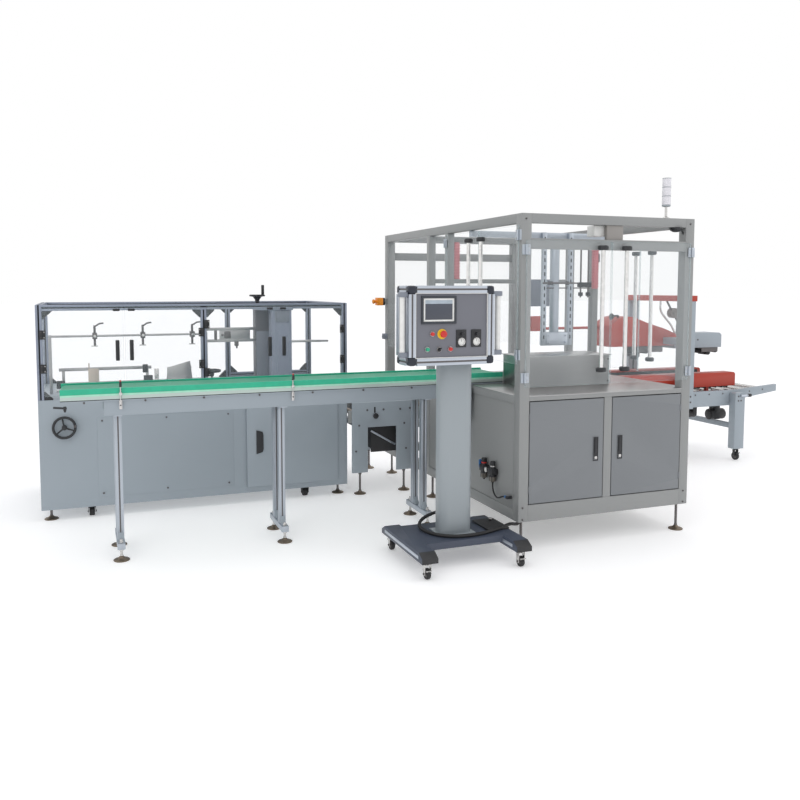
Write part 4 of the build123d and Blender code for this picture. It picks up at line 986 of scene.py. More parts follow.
def magazineTrim():
    # rail blocks and clamps, leaning sheet and guide
    bits(
        "rail_blocks", "black_plastic",
        ((-2612, -2556, 1835, 1865, 868, 922), (-2030, -1968, 1835, 1865, 868, 940),
        (-2022, -1985, 2046, 2074, 940, 1000)), (), 0.003)
    bits(
        "rail_clamps", "brightSteel",
        ((-1955, -1925, 1838, 1864, 820, 985), (-1925, -1892, 1838, 1864, 820, 870),
        (-2620, -2560, 2040, 2080, 820, 832)),
        ((-1940, 1834, 905, -1940, 1868, 905, 9), (-1940, 1834, 950, -1940, 1868, 950, 9)), rounding=0.002)
    sheet = mm((1866.5, 992), (1869, 993.5), (1990, 822.5), (1986.5, 820.5))
    piece("leaning_sheet", Shape().prism(sheet, -1.862, -1.69, "X", 0.0004), "stainless_sheet")
    bits(
        "tan_guide", "tanPlate", ((-2404, -2334, 1852, 1860, 822, 1000),),
        ((-2398, 1856, 1000, -2398, 1856, 1040, 4),), rounding=0.001)


def lowWheel():
    wheel, hub = Shape(), Shape()
    centre = Vector((-1.545, 1.85, 0.955))
    wheel.turned(
        mm((50, -6), (56, -11), (64, -8), (67, 0), (64, 8), (56, 11), (50, 6), (49, 0), (50, -6)), centre,
        sides=40)
    for index in range(3):
        angle = math.radians(30 + 120 * index)
        wheel.rod(
            centre + Vector((0, 0, -0.012)), centre + 0.055 * Vector((math.cos(angle), math.sin(angle), 0)),
            0.007, 12, 0, 0.005)
    wheel.turned(mm((0, 12), (13, 10), (18, -8), (16, -30), (12, -40), (0, -40)), centre, sides=24)
    hub.rod((centre.x, centre.y, 0.82), (centre.x, centre.y, 0.92), 0.008, 16)
    hub.box((centre.x - 0.035, centre.y - 0.028, 0.82), (centre.x + 0.035, centre.y + 0.028, 0.846), 0.003)
    piece("low_wheel", wheel, "black_plastic", "frame")
    piece("low_wheel_post", hub, "darkSteel")


def towerTrim():
    # plates, top wheel with its grip, and the sensors on the arm
    bits(
        "tower_plates", "towerGrey",
        ((-1066, -955, 1856, 1860, 1306, 1392), (-1166, -1054, 2064, 2070, 830, 1230),
        (-1060, -960, 1960.5, 1966, 850, 1380)), rounding=0.001)
    top = Shape().turned(
        mm((0, 0), (14, 0), (18, 30), (34, 52), (60, 58), (62, 66), (56, 70), (30, 67), (0, 66)),
        (-1.144, 2.12, 1.4445), sides=36)
    top.rod((-1.1, 2.12, 1.512), (-1.1, 2.12, 1.589), 0.0115, 18, 0.003)
    top.rod((-1.144, 2.12, 1.4145), (-1.144, 2.12, 1.446), 0.01, 18)
    piece("top_wheel", top, "black_plastic")
    bits(
        "arm_sensors", "darkSteel",
        ((-1330, -1302, 2076, 2112, 1118, 1151), (-1486, -1466, 2082, 2102, 1169, 1241),
        (-1410, -1360, 2086, 2090, 1178, 1232)),
        ((-1316, 2083, 1100, -1316, 2083, 1122, 7), (-1424, 2084, 1205, -1424, 2092, 1205, 9)),
        rounding=0.002)


# painted shade: dark strips on the floors of the bars' grooves
erectorBars, erectorGrooveShade = Shape(), Shape()
for node in ("erector_posts", "erector_rails"):
    for low, high in solidsOf(node):
        slottedBar(erectorBars, low, high, 0.01, 0.008, None, erectorGrooveShade)
piece("erector_bars", erectorBars, "darkProfile", "frame",
      ("erector_posts", "erector_rails"))
piece("erector_groove_shade", erectorGrooveShade, "shadowGap")
for node in ("erector_cabinet", "erector_door", "case_magazine", "forming_tower", "forming_arm"):
    softened(node)
# the tower's cap and its rear leg are darker
tower = {"capLow": 1.42, "rearFrom": 2.05, "rearHigh": 1.397}
towerSkin = bpy.data.objects["forming_tower_skin"]
towerSkin.data.materials[0] = looks["towerBlue"]
towerSkin.data.materials.append(looks["towerDark"])
for face in towerSkin.data.polygons:
    centre = face.center
    if centre.z > tower["capLow"] or (centre.y > tower["rearFrom"] and centre.z < tower["rearHigh"]):
        face.material_index = 1
for trim in (cabinetTrim, clampLevers, magazineTrim, lowWheel, towerTrim):
    trim()
softened("erector_sheets", 0.0005)

handwheel = {"centre": (-2.566, 1.587, 0.634), "radius": 0.078, "rim": 0.009, "hub": 0.016, "sides": 40}


def handwheelShape(sizes):
    # round rim, hub and three spokes, and the grip apart
    rim, grip = Shape(), Shape()
    centre = Vector(sizes["centre"])
    reach = sizes["radius"] - sizes["rim"]
    ring = bmesh.new()
    circles = []
    for x, z in circle(1, sizes["sides"]):
        outward = Vector((x, 0, z))
        circles.append([ring.verts.new(centre + reach * outward + a * outward + b * Vector((0, 1, 0)))
                        for a, b in circle(sizes["rim"], 12)])
    for low, high in zip(circles, circles[1:] + circles[:1]):
        for turn in range(12):
            follow = (turn + 1) % 12
            ring.faces.new((low[turn], low[follow], high[follow], high[turn]))
    bmesh.ops.recalc_face_normals(ring, faces=ring.faces)
    rim.take(ring)
    rim.rod(centre + Vector((0, 0.0277, 0)), centre + Vector((0, -0.012, 0)), sizes["hub"], 28, 0.002)

    def onRing(degrees):
        return centre + reach * Vector((math.cos(math.radians(degrees)), 0, math.sin(math.radians(degrees))))

    for degrees in (100, 220, 340):
        rim.rod(centre, onRing(degrees), 0.006, 14, 0, 0.005)
    spot = onRing(10)
    grip.rod(spot, spot + Vector((0, -0.016, 0)), 0.004, 14)
    grip.turned(mm((0, 14), (7, 14), (9, 20), (9.5, 38), (6, 45), (0, 46)), spot, (0, -1, 0), 20)
    return rim, grip


rim, grip = handwheelShape(handwheel)
piece("wheel_rim", rim, "black_plastic", "handwheel", ("front_handwheel",))
piece("wheel_grip", grip, "darkSteel", "handwheel")

gusset = {"leg": 0.055, "tip": 0.008, "depth": 0.03}


def cornerGussets(shape, corners):
    # triangular corner plates between posts and rails
    leg, tip = gusset["leg"], gusset["tip"]
    for x, z, wayX, wayZ, y in corners:
        outline = [
            (x + wayX * a, z + wayZ * b) for a, b in ((0, 0), (leg, 0), (leg, tip), (tip, leg), (0, leg))]
        shape.prism(outline, y, y + gusset["depth"], "Y", 0.001)


plates = Shape()
railLow, tableTop, erectorRight = 1.415, 0.82, -0.575
for low, high in solidsOf("erector_posts"):
    for wayX, x in ((1, high.x), (-1, low.x)):
        if cadBox[0].x + 0.01 < x < erectorRight:
            cornerGussets(
                plates, [(x, railLow, wayX, -1, low.y + 0.005), (x, tableTop, wayX, 1, low.y + 0.005)])
cornerGussets(plates, [(-1.27, 0.856, 1, 1, 2.632), (-0.611, 0.856, -1, 1, 2.632)])
piece("corner_gussets", plates, "motorBlack")

# Transfer section, lane and sealer

for node in ("transfer_plates", "case_lane", "sealer_bed", "sealer_legs", "side_drives", "sealer_masts",
             "sealer_crossbar", "sealer_head", "head_cover"):
    softened(node, 0.002)


def transferTrim():
    # bolts, knob and its slot as a dark strip of painted shade, chute and its rail
    spots = [(x, 1.57, z) for x, z in (
        (-0.425, 0.641), (-0.293, 0.64), (-0.156, 0.637), (-0.107, 0.328), (-0.075, 0.64), (-0.516, 0.329),
        (-0.49, 0.526), (-0.122, 0.526))]
    screwSet("transfer_bolts", Shape.bolt, [(spots, (0, -1, 0), 0.006, 0.005)])
    knob = Shape().turned(
        mm((0, 0), (7, 0), (7, 12), (20, 14), (23, 20), (22, 28), (12, 33), (0, 34)), (-0.364, 1.57, 0.596),
        (0, -1, 0), 8)
    piece("transfer_knob", knob, "black_plastic")
    bits("transfer_slot_shade", "shadowGap", ((-370, -358, 1569.4, 1570, 618, 662),), rounding=0.0002)
    bits(
        "chute", "motorBlack", ((-372, -103, 1640, 1646, 300, 505), (-372, -366, 1646, 1900, 330, 505),
        (-142, -106, 1646, 1900, 300, 505), (-366, -142, 1894, 1900, 330, 505)), rounding=0.002)
    rail = mm((-376, 462), (-176, 344), (-168, 356), (-368, 474))
    piece("chute_rail", Shape().prism(rail, 1.63, 1.64, "Y", 0.001), "lightProfile")


transferTrim()


def driveBelts():
    belts, pins = Shape(), Shape()
    for inner, outer, middle in ((1.7455, 1.75, 1.7105), (2.07, 2.0745, 2.1095)):
        belts.box((1.53, inner, 0.686), (3.15, outer, 0.78), 0.002)
        for index in range(26):
            x = 1.545 + 0.064 * index
            pins.rod((x, middle - 0.035, 0.66), (x, middle + 0.035, 0.66), 0.011, 12, 0.001)
    piece("drive_belts", belts, "black_rubber", "frame")
    piece("drive_pins", pins, "black_rubber", "frame")


def acrossRods(rows, middle=1910):
    # rods across the line, from x, z, half length and radius, in mm
    return [(x, middle - half, z, x, middle + half, z, radius) for x, z, half, radius in rows]


def tapingRollers():
    # rollers under the head, and the plates and shafts that carry them
    rollers = acrossRods((
        (2995, 975, 60, 21), (3075, 962, 60, 24), (3162, 978, 60, 20), (2349, 997, 80, 26),
        (2505, 1003, 80, 22), (2268, 962, 60, 24)))
    bits("head_rollers", "black_rubber", (), rollers)
    pairs = (
        (2985, 3175, 968, 1013, ((1838, 1843), (1977, 1982))),
        (2240, 2520, 985, 1046, ((1818, 1823), (1997, 2002))),
        (2255, 2285, 945, 1046, ((1840, 1845), (1975, 1980))))
    arms = [(x0, x1, *depth, z0, z1) for x0, x1, z0, z1, depths in pairs for depth in depths]
    shafts = acrossRods((
        (2995, 975, 74, 6), (3075, 970, 74, 6), (3162, 978, 74, 6), (2349, 997, 94, 6), (2505, 1003, 94, 6)))
    bits("roller_arms", "darkSteel", arms, shafts, rounding=0.001)


def bedMotors():
    bits(
        "bed_motors", "motorBlack",
        ((2694, 3160, 1700, 1780, 492, 499.6), (2790, 2832, 1702, 1778, 400, 492),
        (3040, 3095, 1698, 1782, 350, 492)),
        ((2715, 1740, 415, 2830, 1740, 415, 36), (3000, 1740, 395, 3160, 1740, 395, 50),
        (2992, 1740, 395, 3000, 1740, 395, 40)), rounding=0.004)


def tapeRoll():
    # roll, bent arm and the bars that carry them
    arm = Shape().pipe(
        mm((2470, 1800, 1447), (2466, 1800, 1360), (2520, 1800, 1300), (2590, 1800, 1235),
        (2640, 1806, 1160), (2652, 1812, 1140)), 0.009, 12)
    piece("tape_arm", arm, "brightSteel")
    roll = Shape().rod((2.61, 1.772, 1.338), (2.61, 1.828, 1.338), 0.046, 40, 0.003)
    roll.rod((2.61, 1.764, 1.338), (2.61, 1.836, 1.338), 0.016, 20, 0.001)
    piece("tape_roll", roll, "tapeBrown")
    bits(
        "roll_arm", "darkSteel", (),
        ((2610, 1800, 1338, 2540, 1800, 1446, 9), (2610, 1800, 1338, 2668, 1806, 1262, 9),
        (2668, 1806, 1262, 2668, 1812, 1146, 9)))


def headCrank():
    crank = Shape().pipe(
        mm((2046, 1860, 1295), (2040, 1830, 1318), (2000, 1800, 1322), (1955, 1800, 1316)), 0.008, 12)
    crank.turned(
        mm((0, -6), (24, -4), (30, 3), (30, 12), (22, 18), (0, 20)), (1.948, 1.8, 1.312), (-1, 0, 0.15), 10)
    piece("head_crank", crank, "black_plastic", "frame")


def sealerScrews():
    # bolts, the slots of the masts as dark strips of painted shade, and the clamps on the legs
    legs = [(x, 1.4847, z) for x in (1.5, 1.53, 3.102, 3.132) for z in (0.548, 0.588)]
    shafts = [((low.x + high.x) / 2, 1.56, (low.z + high.z) / 2) for low, high in solidsOf("sealer_rollers")]
    head = mm((2913, 1810, 1086), (2740, 1810, 1040), (2740, 1810, 1120))
    masts = [(x, 1.49, z) for z in (0.56, 0.61) for x in (2.52, 2.565)]
    screwSet("sealer_screws", Shape.bolt, [
        (legs, (0, -1, 0)), (shafts, (0, -1, 0), 0.0055), (head + masts, (0, -1, 0))])
    bits("mast_slot_shade", "shadowGap", [(2533.5, 2551.5, *depth, 700, 1400) for depth in (
        (1489.2, 1490), (2259.2, 2260))], rounding=0.0003)
    bits(
        "leg_clamps", "lightProfile", (),
        ((3120, 1478, 594, 3205, 1478, 594, 11), (1540, 1478, 594, 1590, 1478, 594, 11)))
    bits(
        "clamp_knobs", "black_plastic", (),
        ((3205, 1478, 594, 3236, 1478, 594, 15), (1590, 1478, 594, 1616, 1478, 594, 15)))


for trim in (driveBelts, tapingRollers, bedMotors, tapeRoll, headCrank, sealerScrews):
    trim()


def rollersOf(name, node):
    # each roller with its end caps and shaft
    tubes, shafts = Shape(), Shape()
    for low, high in solidsOf(node):
        centre = (low + high) / 2
        radius = (high.z - low.z) / 2
        y0, y1 = low.y + 0.003, high.y - 0.003
        tubes.turned(
            [(radius * 0.4, y0), (radius * 0.92, y0), (radius, y0 + 0.002), (radius, y1 - 0.002),
             (radius * 0.92, y1), (radius * 0.4, y1)], (centre.x, 0, centre.z), (0, 1, 0), 32)
        shafts.rod((centre.x, low.y, centre.z), (centre.x, high.y, centre.z), 0.006, 6)
    piece(name, tubes, "zinc_steel" if "lane" in node else "brightSteel", "frame", (node,))
    piece(name + "_shafts", shafts, "darkSteel")


rollersOf("lane_tubes", "lane_rollers")
rollersOf("sealer_tubes", "sealer_rollers")

# Console

stand = {"rails": (-0.7325, -0.1575), "half": 0.0475, "front": -0.315, "back": 0.305, "slant": 0.05}
standSkin = softened("stand_base", 0.003)
standSkin.data.materials.append(looks["motorBlack"])
# the slanted ends of its rails are black
flatFrom, flatTo = stand["front"] + stand["slant"] + 0.002, stand["back"] - stand["slant"] - 0.002
for face in standSkin.data.polygons:
    if abs(face.normal.y) > 0.25 and not flatFrom <= face.center.y <= flatTo:
        face.material_index = 1
trim = Shape()
for x in stand["rails"]:
    for way in (-1, 1):
        side = x + way * stand["half"]
        near, far = sorted((side, side + way * 0.0012))
        trim.box((near, stand["front"] + 0.055, 0.112), (far, stand["back"] - 0.055, 0.13), 0.0004)
piece("stand_trim", trim, "lightProfile")
bits(
    "rail_cover", "motorBlack", ((-252, -112, -60, 150, 150.3, 163),),
    ((-154, 102, 163, -154, 102, 169, 9),), rounding=0.004)
bits(
    "rail_cover_knob", "brightSteel", (),
    ((-154, 102, 169, -154, 102, 178, 12), (-154, 102, 163, -154, 102, 170, 6)))
softened("console_column", 0.001, "columnEnamel")
bits(
    "column_flange", "columnEnamel", ((-556, -334, -62, 108, 150, 156), (-560, -330, -66, 112, 1137, 1143)),
    rounding=0.002)
# the box stands where it was measured last, narrower than the CAD's
console = {
    "low": Vector((-0.79, -0.145, 1.143)), "high": Vector((-0.27, 0.045, 1.58)), "bar": 0.04, "cap": 0.047,
    "panelInset": 0.012, "round": 0.013,
}


def consoleBox(sizes):
    low, high = sizes["low"], sizes["high"]
    bar, cap = sizes["bar"], sizes["cap"]
    rails, caps, skin, slots, trim = (Shape() for _ in range(5))

    def ends(axis, depth):
        # the stretches of that depth at both ends of the box along one axis
        return (low[axis], low[axis] + depth), (high[axis] - depth, high[axis])

    def rail(x, y, z):
        slottedBar(rails, *(Vector(corner) for corner in zip(x, y, z)), 0.01, 0.005, None, slots)

    for y in ends(1, bar):
        for x in ends(0, bar):
            rail(x, y, (low.z + cap, high.z - cap))
        for z in ends(2, bar):
            rail((low.x + cap + 0.001, high.x - cap - 0.001), y, z)
    for x in ends(0, bar):
        for z in ends(2, bar):
            rail(x, (low.y + cap, high.y - cap), z)
    for y in ends(1, cap):
        for x in ends(0, cap):
            for z in ends(2, cap):
                caps.box(*zip(x, y, z), sizes["round"])
    inset = sizes["panelInset"]
    skin.box(
        (low.x + inset, low.y + inset, low.z + inset), (high.x - inset, high.y - inset, high.z - inset),
        0.002)
    trim.around(
        low.x + bar, high.x - bar, low.z + bar, high.z - bar, 0.004, low.y + 0.004, low.y + 0.014, 0.0006)
    piece("console_rails", rails, "lightProfile", "frame", ("console_box",))
    # painted shade: dark strips on the floors of the rails' grooves
    piece("console_groove_shade", slots, "darkSteel")
    piece("console_corners", caps, "cornerCap", "frame")
    piece("console_panel", skin, "panelGrey")
    piece("console_trim", trim, "whitePlastic")
    handles, blocks = Shape(), Shape()
    for x, wall, lowZ, highZ in ((-0.8155, low.x, 1.19, 1.545), (-0.2325, high.x, 1.19, 1.55)):
        handles.rod((x, -0.11, lowZ + 0.012), (x, -0.11, highZ - 0.012), 0.015, 28)
        outside = x + math.copysign(0.019, x - wall)
        for z in (lowZ, highZ - 0.028):
            blocks.box((min(wall, outside), -0.132, z), (max(wall, outside), -0.088, z + 0.028), 0.005)
    piece("console_handles", handles, "whitePlastic")
    piece("handle_blocks", blocks, "towerGrey")


consoleBox(console)
panelFront = console["low"].y + console["panelInset"]
screen = {"x": (-0.715, -0.505), "z": (1.371, 1.524), "rim": 0.013, "inner": 0.01, "band": 0.02}
face = {"selector": (-0.607, 1.23), "stop": (-0.589, 1.315), "regulators": (-0.473, -0.381)}


def consoleFace():
    # screen, emergency stop, lamps, selector and two regulators
    front = panelFront

    def onFace(shape, profile, x, z, sides=28):
        return shape.turned(profile, (x, front, z), (0, -1, 0), sides)

    rimShape, inner, band, glass = Shape(), Shape(), Shape(), Shape()
    x0, x1 = screen["x"]
    z0, z1 = screen["z"]
    rimShape.around(x0, x1, z0, z1, screen["rim"], front - 0.01, front, 0.002)
    x0, x1, z0, z1 = x0 + screen["rim"], x1 - screen["rim"], z0 + screen["rim"], z1 - screen["rim"]
    inner.around(x0, x1, z0, z1, screen["inner"], front - 0.006, front, 0.0008)
    x0, x1, z0, z1 = x0 + screen["inner"], x1 - screen["inner"], z0 + screen["inner"], z1 - screen["inner"]
    band.box((x0, front - 0.0045, z1 - screen["band"]), (x1, front, z1), 0.0004)
    glass.box((x0, front - 0.0045, z0), (x1, front, z1 - screen["band"]), 0.0004)
    piece("screen_rim", rimShape, "screenRim")
    piece("screen_frame", inner, "whitePlastic")
    piece("screen_band", band, "screenBand")
    piece("screen_glass", glass, "screenGlass")
    domed = mm((0, 20), (6, 19.5), (10, 16.5), (11, 10), (11, 0), (0, 0))
    bezel = mm((11.5, 0), (15.5, 0), (15.5, 3), (13.5, 6), (11.5, 6))
    rings = Shape()
    for name, x, z, look in (
            ("lamp_red", -0.649, 1.316, "redPlastic"), ("button_green", -0.678, 1.232, "greenPlastic"),
            ("button_red", -0.54, 1.231, "redPlastic")):
        onFace(rings, bezel, x, z)
        piece(name, onFace(Shape(), domed, x, z), look)
    onFace(rings, bezel, *face["selector"])
    piece("button_rings", rings, "brightSteel")
    x, z = face["selector"]
    knob = onFace(Shape(), [(0, 0.01), (0.0115, 0.009), (0.0115, 0), (0, 0)], x, z)
    turn = Matrix.Translation((x, front - 0.014, z)) @ Matrix.Rotation(math.radians(35), 4, "Y")
    knob.box((-0.004, -0.008, -0.0125), (0.004, 0.006, 0.0125), 0.002, turn)
    piece("selector", knob, "black_plastic")
    disc = mm((0, 4), (26, 4), (28, 2), (28, 0), (0, 0))
    piece("stop_disc", onFace(Shape(), disc, *face["stop"], 40), "yellowPlastic")
    head = mm((0, 34), (12, 33), (18.5, 29), (20, 24), (17, 18), (11, 15), (10, 4), (0, 4))
    piece("stop_head", onFace(Shape(), head, *face["stop"], 36), "redPlastic")
    plates, dials, rims = Shape(), Shape(), Shape()
    dialRim = mm((17, 4), (22, 4), (22, 10), (19, 11), (17, 9))
    dial = mm((0, 7), (17, 7), (17, 4), (0, 4))
    button = mm((0, 30), (9, 29), (11, 25), (11, 8), (13, 6), (0, 6))
    for middle in face["regulators"]:
        plates.box((middle - 0.031, front - 0.006, 1.239), (middle + 0.031, front, 1.337), 0.003)
        onFace(rims, dialRim, middle, 1.27, 32)
        onFace(dials, dial, middle, 1.27, 32)
        onFace(plates, button, middle, 1.314, 12)
        plates.box((middle - 0.0007, front - 0.0076, 1.27), (middle + 0.0007, front - 0.007, 1.284), 0)
    piece("regulator_plates", plates, "black_plastic")
    piece("gauge_dials", dials, "whitePlastic")
    piece("gauge_rims", rims, "brightSteel")


consoleFace()

# Packer's inside and fittings


def liftTrim():
    # slots in the uprights as dark boxes of painted shade, cross rails, panel, rods with their blocks, and
    # the carriage plate
    slots = Shape()
    for x in (0.536, 0.746):
        for index in range(15):
            z = 1.215 + 0.048 * index
            slots.box((x - 0.0045, 0.6394, z), (x + 0.0045, 0.64, z + 0.026), 0.0002)
    piece("lift_slot_shade", slots, "shadowGap")
    bits(
        "cross_rails", "machine_paint",
        ((5, 1148, 1282, 1318, 1600, 1632), (5, 1148, 1282, 1318, 1905, 1944)), rounding=0.002)
    bits("inner_panel", "towerGrey", ((700, 990, 1272, 1282, 1424, 1632),), rounding=0.003)
    bits(
        "lift_rods", "darkSteel", ((846, 872, 676, 700, 1860, 1905), (908, 934, 676, 700, 1860, 1905),),
        ((859, 688, 1500, 859, 688, 1905, 6), (921, 688, 1500, 921, 688, 1905, 6),
        (552, 654, 1600, 935, 688, 1600, 5), (552, 654, 1566, 935, 688, 1566, 4),
        (520, 636, 1600, 762, 636, 1600, 6)))
    bits(
        "rod_blocks", "black_plastic", ((840, 940, 672, 704, 1572, 1606), (850, 868, 670, 706, 1510, 1536),
        (912, 930, 670, 706, 1510, 1536), (560, 600, 632, 640, 1588, 1612),
        (700, 728, 632, 640, 1588, 1612)), rounding=0.003)
    bits(
        "carriage_plate", "lightProfile", ((560, 722, 636, 640, 1176, 1254),),
        ((575, 628, 1190, 575, 640, 1190, 6), (707, 628, 1190, 707, 640, 1190, 6),
        (575, 628, 1240, 575, 640, 1240, 6), (707, 628, 1240, 707, 640, 1240, 6)), rounding=0.001)


def cableChains():
    chain, links = Shape(), Shape()
    for x, y, low, high in ((0.186, 1.3, 1.6, 1.905), (1.126, 0.9, 1.56, 1.945)):
        chain.box((x - 0.02, y - 0.014, low), (x + 0.02, y + 0.014, high), 0.006)
        for index in range(int((high - low) / 0.022)):
            z = low + 0.012 + 0.022 * index
            links.box((x - 0.0225, y - 0.0165, z), (x + 0.0225, y + 0.0165, z + 0.01), 0.002)
    piece("chain_core", chain, "roseChain")
    piece("chain_links", links, "roseChain")


def headerFittings():
    # strut, lamp driver and lamp under the front header, and the limit box on the rear post
    bits("header_strut", "strutGrey", ((548, 664, -36, -10, 1857, 1945),), rounding=0.002)
    bits(
        "lamp_driver", "whitePlastic", ((482, 566, -2, 78, 1880, 1945),),
        ((500, 78, 1905, 500, 90, 1905, 6), (540, 78, 1905, 540, 90, 1905, 6)), rounding=0.004)
    lamp = Shape().turned(
        mm((0, 0), (40, 0), (42, 6), (34, 18), (18, 27), (0, 29)), (1.075, -0.018, 1.945), (0, 0, -1), 28)
    lamp.pipe(mm((1105, -18, 1940), (1120, -18, 1930), (1136, -18, 1905), (1148, -18, 1893)), 0.005)
    lamp.box((1.134, -0.03, 1.872), (1.146, -0.006, 1.897), 0.002)
    piece("beam_lamp", lamp, "black_plastic")
    bits(
        "limit_box", "towerGrey", ((-82, -45, 2132, 2172, 1140, 1186),),
        ((-82, 2152, 1163, -88, 2152, 1163, 8),), rounding=0.003)


def packerScrews():
    housing = [(x, 0.295, z) for x in (0.215, 0.815) for z in (0.955, 1.1)]
    posts = [(x, -0.045, z) for x in (-0.0175, 1.165) for z in (0.19, 0.262, 1.968)]
    screwSet("packer_screws", Shape.socketScrew, [(housing, (0, -1, 0), 0.006), (posts, (0, -1, 0), 0.005)])


for trim in (liftTrim, cableChains, headerFittings, packerScrews):
    trim()
softened("pusher_housing", 0.001)
softened("product_lift", 0.001)


def airUnit():
    # shut-off valve, filter regulator and oiler, with bowls, knobs and gauge
    black, bowls, cores, blue, red, silver = (Shape() for _ in range(6))
    x = -0.063
    for y in (0.243, 0.359):
        black.box((-0.085, y - 0.028, 0.405), (-0.04, y + 0.028, 0.446), 0.005)
        bowls.turned(mm((0, 0), (12, 2), (18.5, 10), (20, 24), (20, 46), (0, 46)), (x, y, 0.358), sides=28)
        cores.turned(mm((0, 0), (7, 0), (8, 8), (6, 30), (0, 30)), (x, y, 0.374), sides=18)
        black.turned(mm((20, 0), (20.8, 0), (20.8, 14), (20, 14)), (x, y, 0.392), sides=28)
        black.turned(mm((0, 0), (6.5, 0), (8, 6), (0, 8)), (x, y, 0.352), sides=14)
        for index in range(4):
            angle = math.radians(45 + 90 * index)
            spot = Vector((x + 0.0205 * math.cos(angle), y + 0.0205 * math.sin(angle), 0))
            black.box(
                spot + Vector((-0.0022, -0.0022, 0.364)), spot + Vector((0.0005, 0.0022, 0.396)), 0.0005)
        black.turned(
            mm((0, 0), (17, 0), (17, 12), (15.5, 14), (16.5, 16), (16.5, 40), (13, 44), (0, 44)),
            (x, y, 0.446), sides=18)
    red.turned(mm((16.8, 0), (17.6, 1), (17.6, 7), (16.8, 8)), (x, 0.359, 0.456), sides=28)
    silver.turned(mm((16.8, 0), (17.6, 1), (17.6, 6), (16.8, 7)), (x, 0.243, 0.456), sides=28)
    black.box((-0.078, 0.271, 0.412), (-0.046, 0.331, 0.44), 0.003)
    black.box((-0.078, 0.2085, 0.41), (-0.048, 0.215, 0.44), 0.003)
    blue.turned(mm((0, 0), (17, 0), (19, 3), (19, 8), (0, 10)), (-0.064, 0.384, 0.428), (0, 1, 0), 20)
    blue.box((-0.085, 0.386, 0.432), (-0.066, 0.3935, 0.474), 0.003)
    silver.turned(
        mm((11, 0), (15.5, 0), (16.5, 3), (16.5, 8), (14.5, 9), (14.5, 6), (11, 6)), (-0.0765, 0.301, 0.426),
        (-1, 0, 0), 28)
    dial = Shape().turned(
        mm((0, 6.5), (14.5, 6.5), (14.5, 2), (0, 2)), (-0.0765, 0.301, 0.426), (-1, 0, 0), 28)
    black.turned(mm((0, 0), (10, 0), (10, 16), (6.5, 18), (0, 18)), (-0.04, 0.048, 0.307), (-1, 0, 0), 18)
    black.box((-0.077, 0.037, 0.299), (-0.056, 0.059, 0.315), 0.003)
    piece("air_body", black, "black_plastic", "frame", ("air_unit",))
    for name, shape, look in (("air_bowls", bowls, "smokedBowl"), ("air_cores", cores, "brightSteel"),
                              ("air_valve", blue, "bluePlastic"), ("air_band", red, "redPlastic"),
                              ("air_rings", silver, "brightSteel"), ("air_dial", dial, "whitePlastic")):
        piece(name, shape, look)


airUnit()


def signalTower():
    # steel pole, foot, three lens segments with thin joints and a cap
    x, y = 1, -0.013
    lens, joints, pole = Shape(), Shape(), Shape()
    pole.turned(mm((0, 0), (22, 0), (22, 4), (12, 10), (8, 14), (8, 72), (0, 72)), (x, y, 2), sides=28)
    for base in (2.084, 2.139, 2.194):
        lens.turned(mm((0, 0), (25.5, 0), (26.2, 2), (26.2, 50), (25.5, 52), (0, 52)), (x, y, base), sides=36)
        joints.turned(mm((0, 0), (26.8, 0), (26.8, 3), (0, 3)), (x, y, base + 0.052), sides=36)
    joints.turned(mm((0, 0), (20, 0), (26.6, 4), (26.6, 12), (0, 12)), (x, y, 2.072), sides=36)
    joints.turned(mm((0, 0), (25.5, 0), (23.5, 2), (0, 2.5)), (x, y, 2.2472), sides=36)
    piece("signal_lens", lens, "lamp_plastic", "frame", ("signal_tower",))
    piece("signal_joints", joints, "columnEnamel")
    piece("signal_pole", pole, "brightSteel")


signalTower()


def stopSwitch():
    # bracket on the post, black collar, box and mushroom knob
    low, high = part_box("stop_switch")
    middle = (low + high) / 2
    box = Shape().box((low.x + 0.035, low.y + 0.003, low.z), (low.x + 0.085, high.y - 0.003, high.z), 0.005)
    box.turned(
        mm((0, 35), (12, 34), (18.5, 30), (20, 25), (17, 18), (12, 14), (12, 0), (0, 0)),
        (low.x + 0.035, middle.y, middle.z), (-1, 0, 0), 32)
    piece("stop_body", box, "switch_orange", "frame", ("stop_switch",))
    rear = Shape().box(
        (low.x + 0.0855, low.y + 0.004, low.z + 0.001), (low.x + 0.101, high.y - 0.004, high.z - 0.001),
        0.003)
    piece("stop_rear", rear, "black_plastic")
    plate = Shape().box(
        (low.x + 0.101, middle.y - 0.02, middle.z - 0.022), (high.x, middle.y + 0.02, middle.z + 0.022),
        0.002)
    piece("stop_bracket", plate, "machine_paint")


stopSwitch()
print("console, packer fittings and air unit made")

# Any node that still shows gets its own finish

for node, made in frame["nodes"].items():
    if not made.hide_render:
        made.data.materials.clear()
        made.data.materials.append(finishes[nodeSlots[node]])

# Floor and light

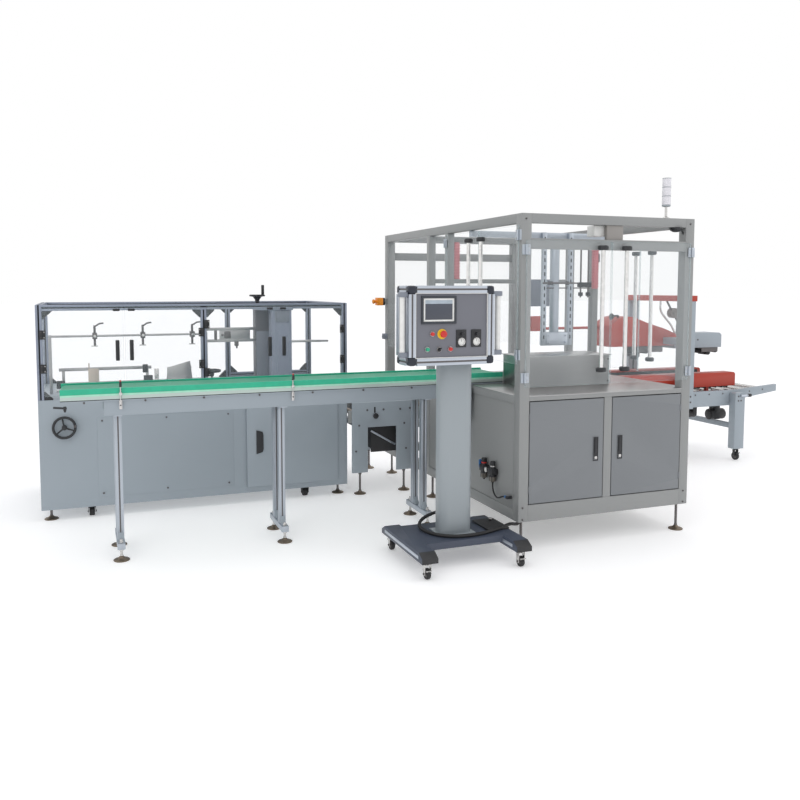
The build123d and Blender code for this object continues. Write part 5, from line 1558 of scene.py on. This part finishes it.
room = {"floor": 160, "floorTone": 0.86, "glow": 0.27, "sky": 1, "fill": 0.88}
floorFinish = Finish("paleFloor")
floorCloud = floorFinish.noise(1.2, 3)
floorFinish.give(
    Base_Color=floorFinish.mix(
        floorCloud, tone((1, 1, 1), room["floorTone"]), tone((1, 1, 1), room["floorTone"] + 0.02)),
    Roughness=0.8, Emission_Color=(1, 1, 1, 1), Emission_Strength=room["glow"])
floorMesh = bpy.data.meshes.new("floor")
reach = room["floor"] / 2
floorMesh.from_pydata(
    [(-reach, -reach, 0), (reach, -reach, 0), (reach, reach, 0), (-reach, reach, 0)], [], [(0, 1, 2, 3)])
floorMesh.materials.append(floorFinish.material)
floor = bpy.data.objects.new("floor", floorMesh)
floor.location.z = -0.0005
bpy.context.scene.collection.objects.link(floor)

world = bpy.data.worlds.new("studio")
bpy.context.scene.world = world
world.use_nodes = True
sky = world.node_tree
sky.nodes.clear()
rays = sky.nodes.new("ShaderNodeLightPath")
blendSky = sky.nodes.new("ShaderNodeMixShader")
skyOut = sky.nodes.new("ShaderNodeOutputWorld")
# camera, glossy and transmission rays see the white sky, all others are lit by the fill
first, second = (sky.nodes.new("ShaderNodeMath") for _ in range(2))
first.operation = second.operation = "MAXIMUM"
fill = (room["fill"], room["fill"], room["fill"] * 1.02, 1)
for socket, shade in ((1, fill), (2, (room["sky"],) * 3 + (1,))):
    background = sky.nodes.new("ShaderNodeBackground")
    background.inputs[0].default_value = shade
    sky.links.new(background.outputs[0], blendSky.inputs[socket])
for source, target in (
    (rays.outputs["Is Camera Ray"], first.inputs[0]), (rays.outputs["Is Glossy Ray"], first.inputs[1]),
    (first.outputs[0], second.inputs[0]), (rays.outputs["Is Transmission Ray"], second.inputs[1]),
    (second.outputs[0], blendSky.inputs[0]), (blendSky.outputs[0], skyOut.inputs[0]),
):
    sky.links.new(source, target)

lamps = {
    "key": {"place": (-6.5, -5, 5.5), "size": 4, "power": 70},
    "side": {"place": (7, -4, 4.5), "size": 4, "power": 45},
    "top": {"place": (0.3, 1, 6.5), "size": 6, "power": 60},
}
for name, lamp in lamps.items():
    light = bpy.data.lights.new(name, "AREA")
    light.shape = "SQUARE"
    light.size = lamp["size"]
    light.energy = lamp["power"]
    lampObject = bpy.data.objects.new(name, light)
    lampObject.location = lamp["place"]
    aim = Vector((0.3, 0.8, 0.8)) - Vector(lamp["place"])
    lampObject.rotation_euler = aim.to_track_quat("-Z", "Y").to_euler()
    bpy.context.scene.collection.objects.link(lampObject)
bpy.context.scene.view_settings.view_transform = "Standard"

print("scene ready")
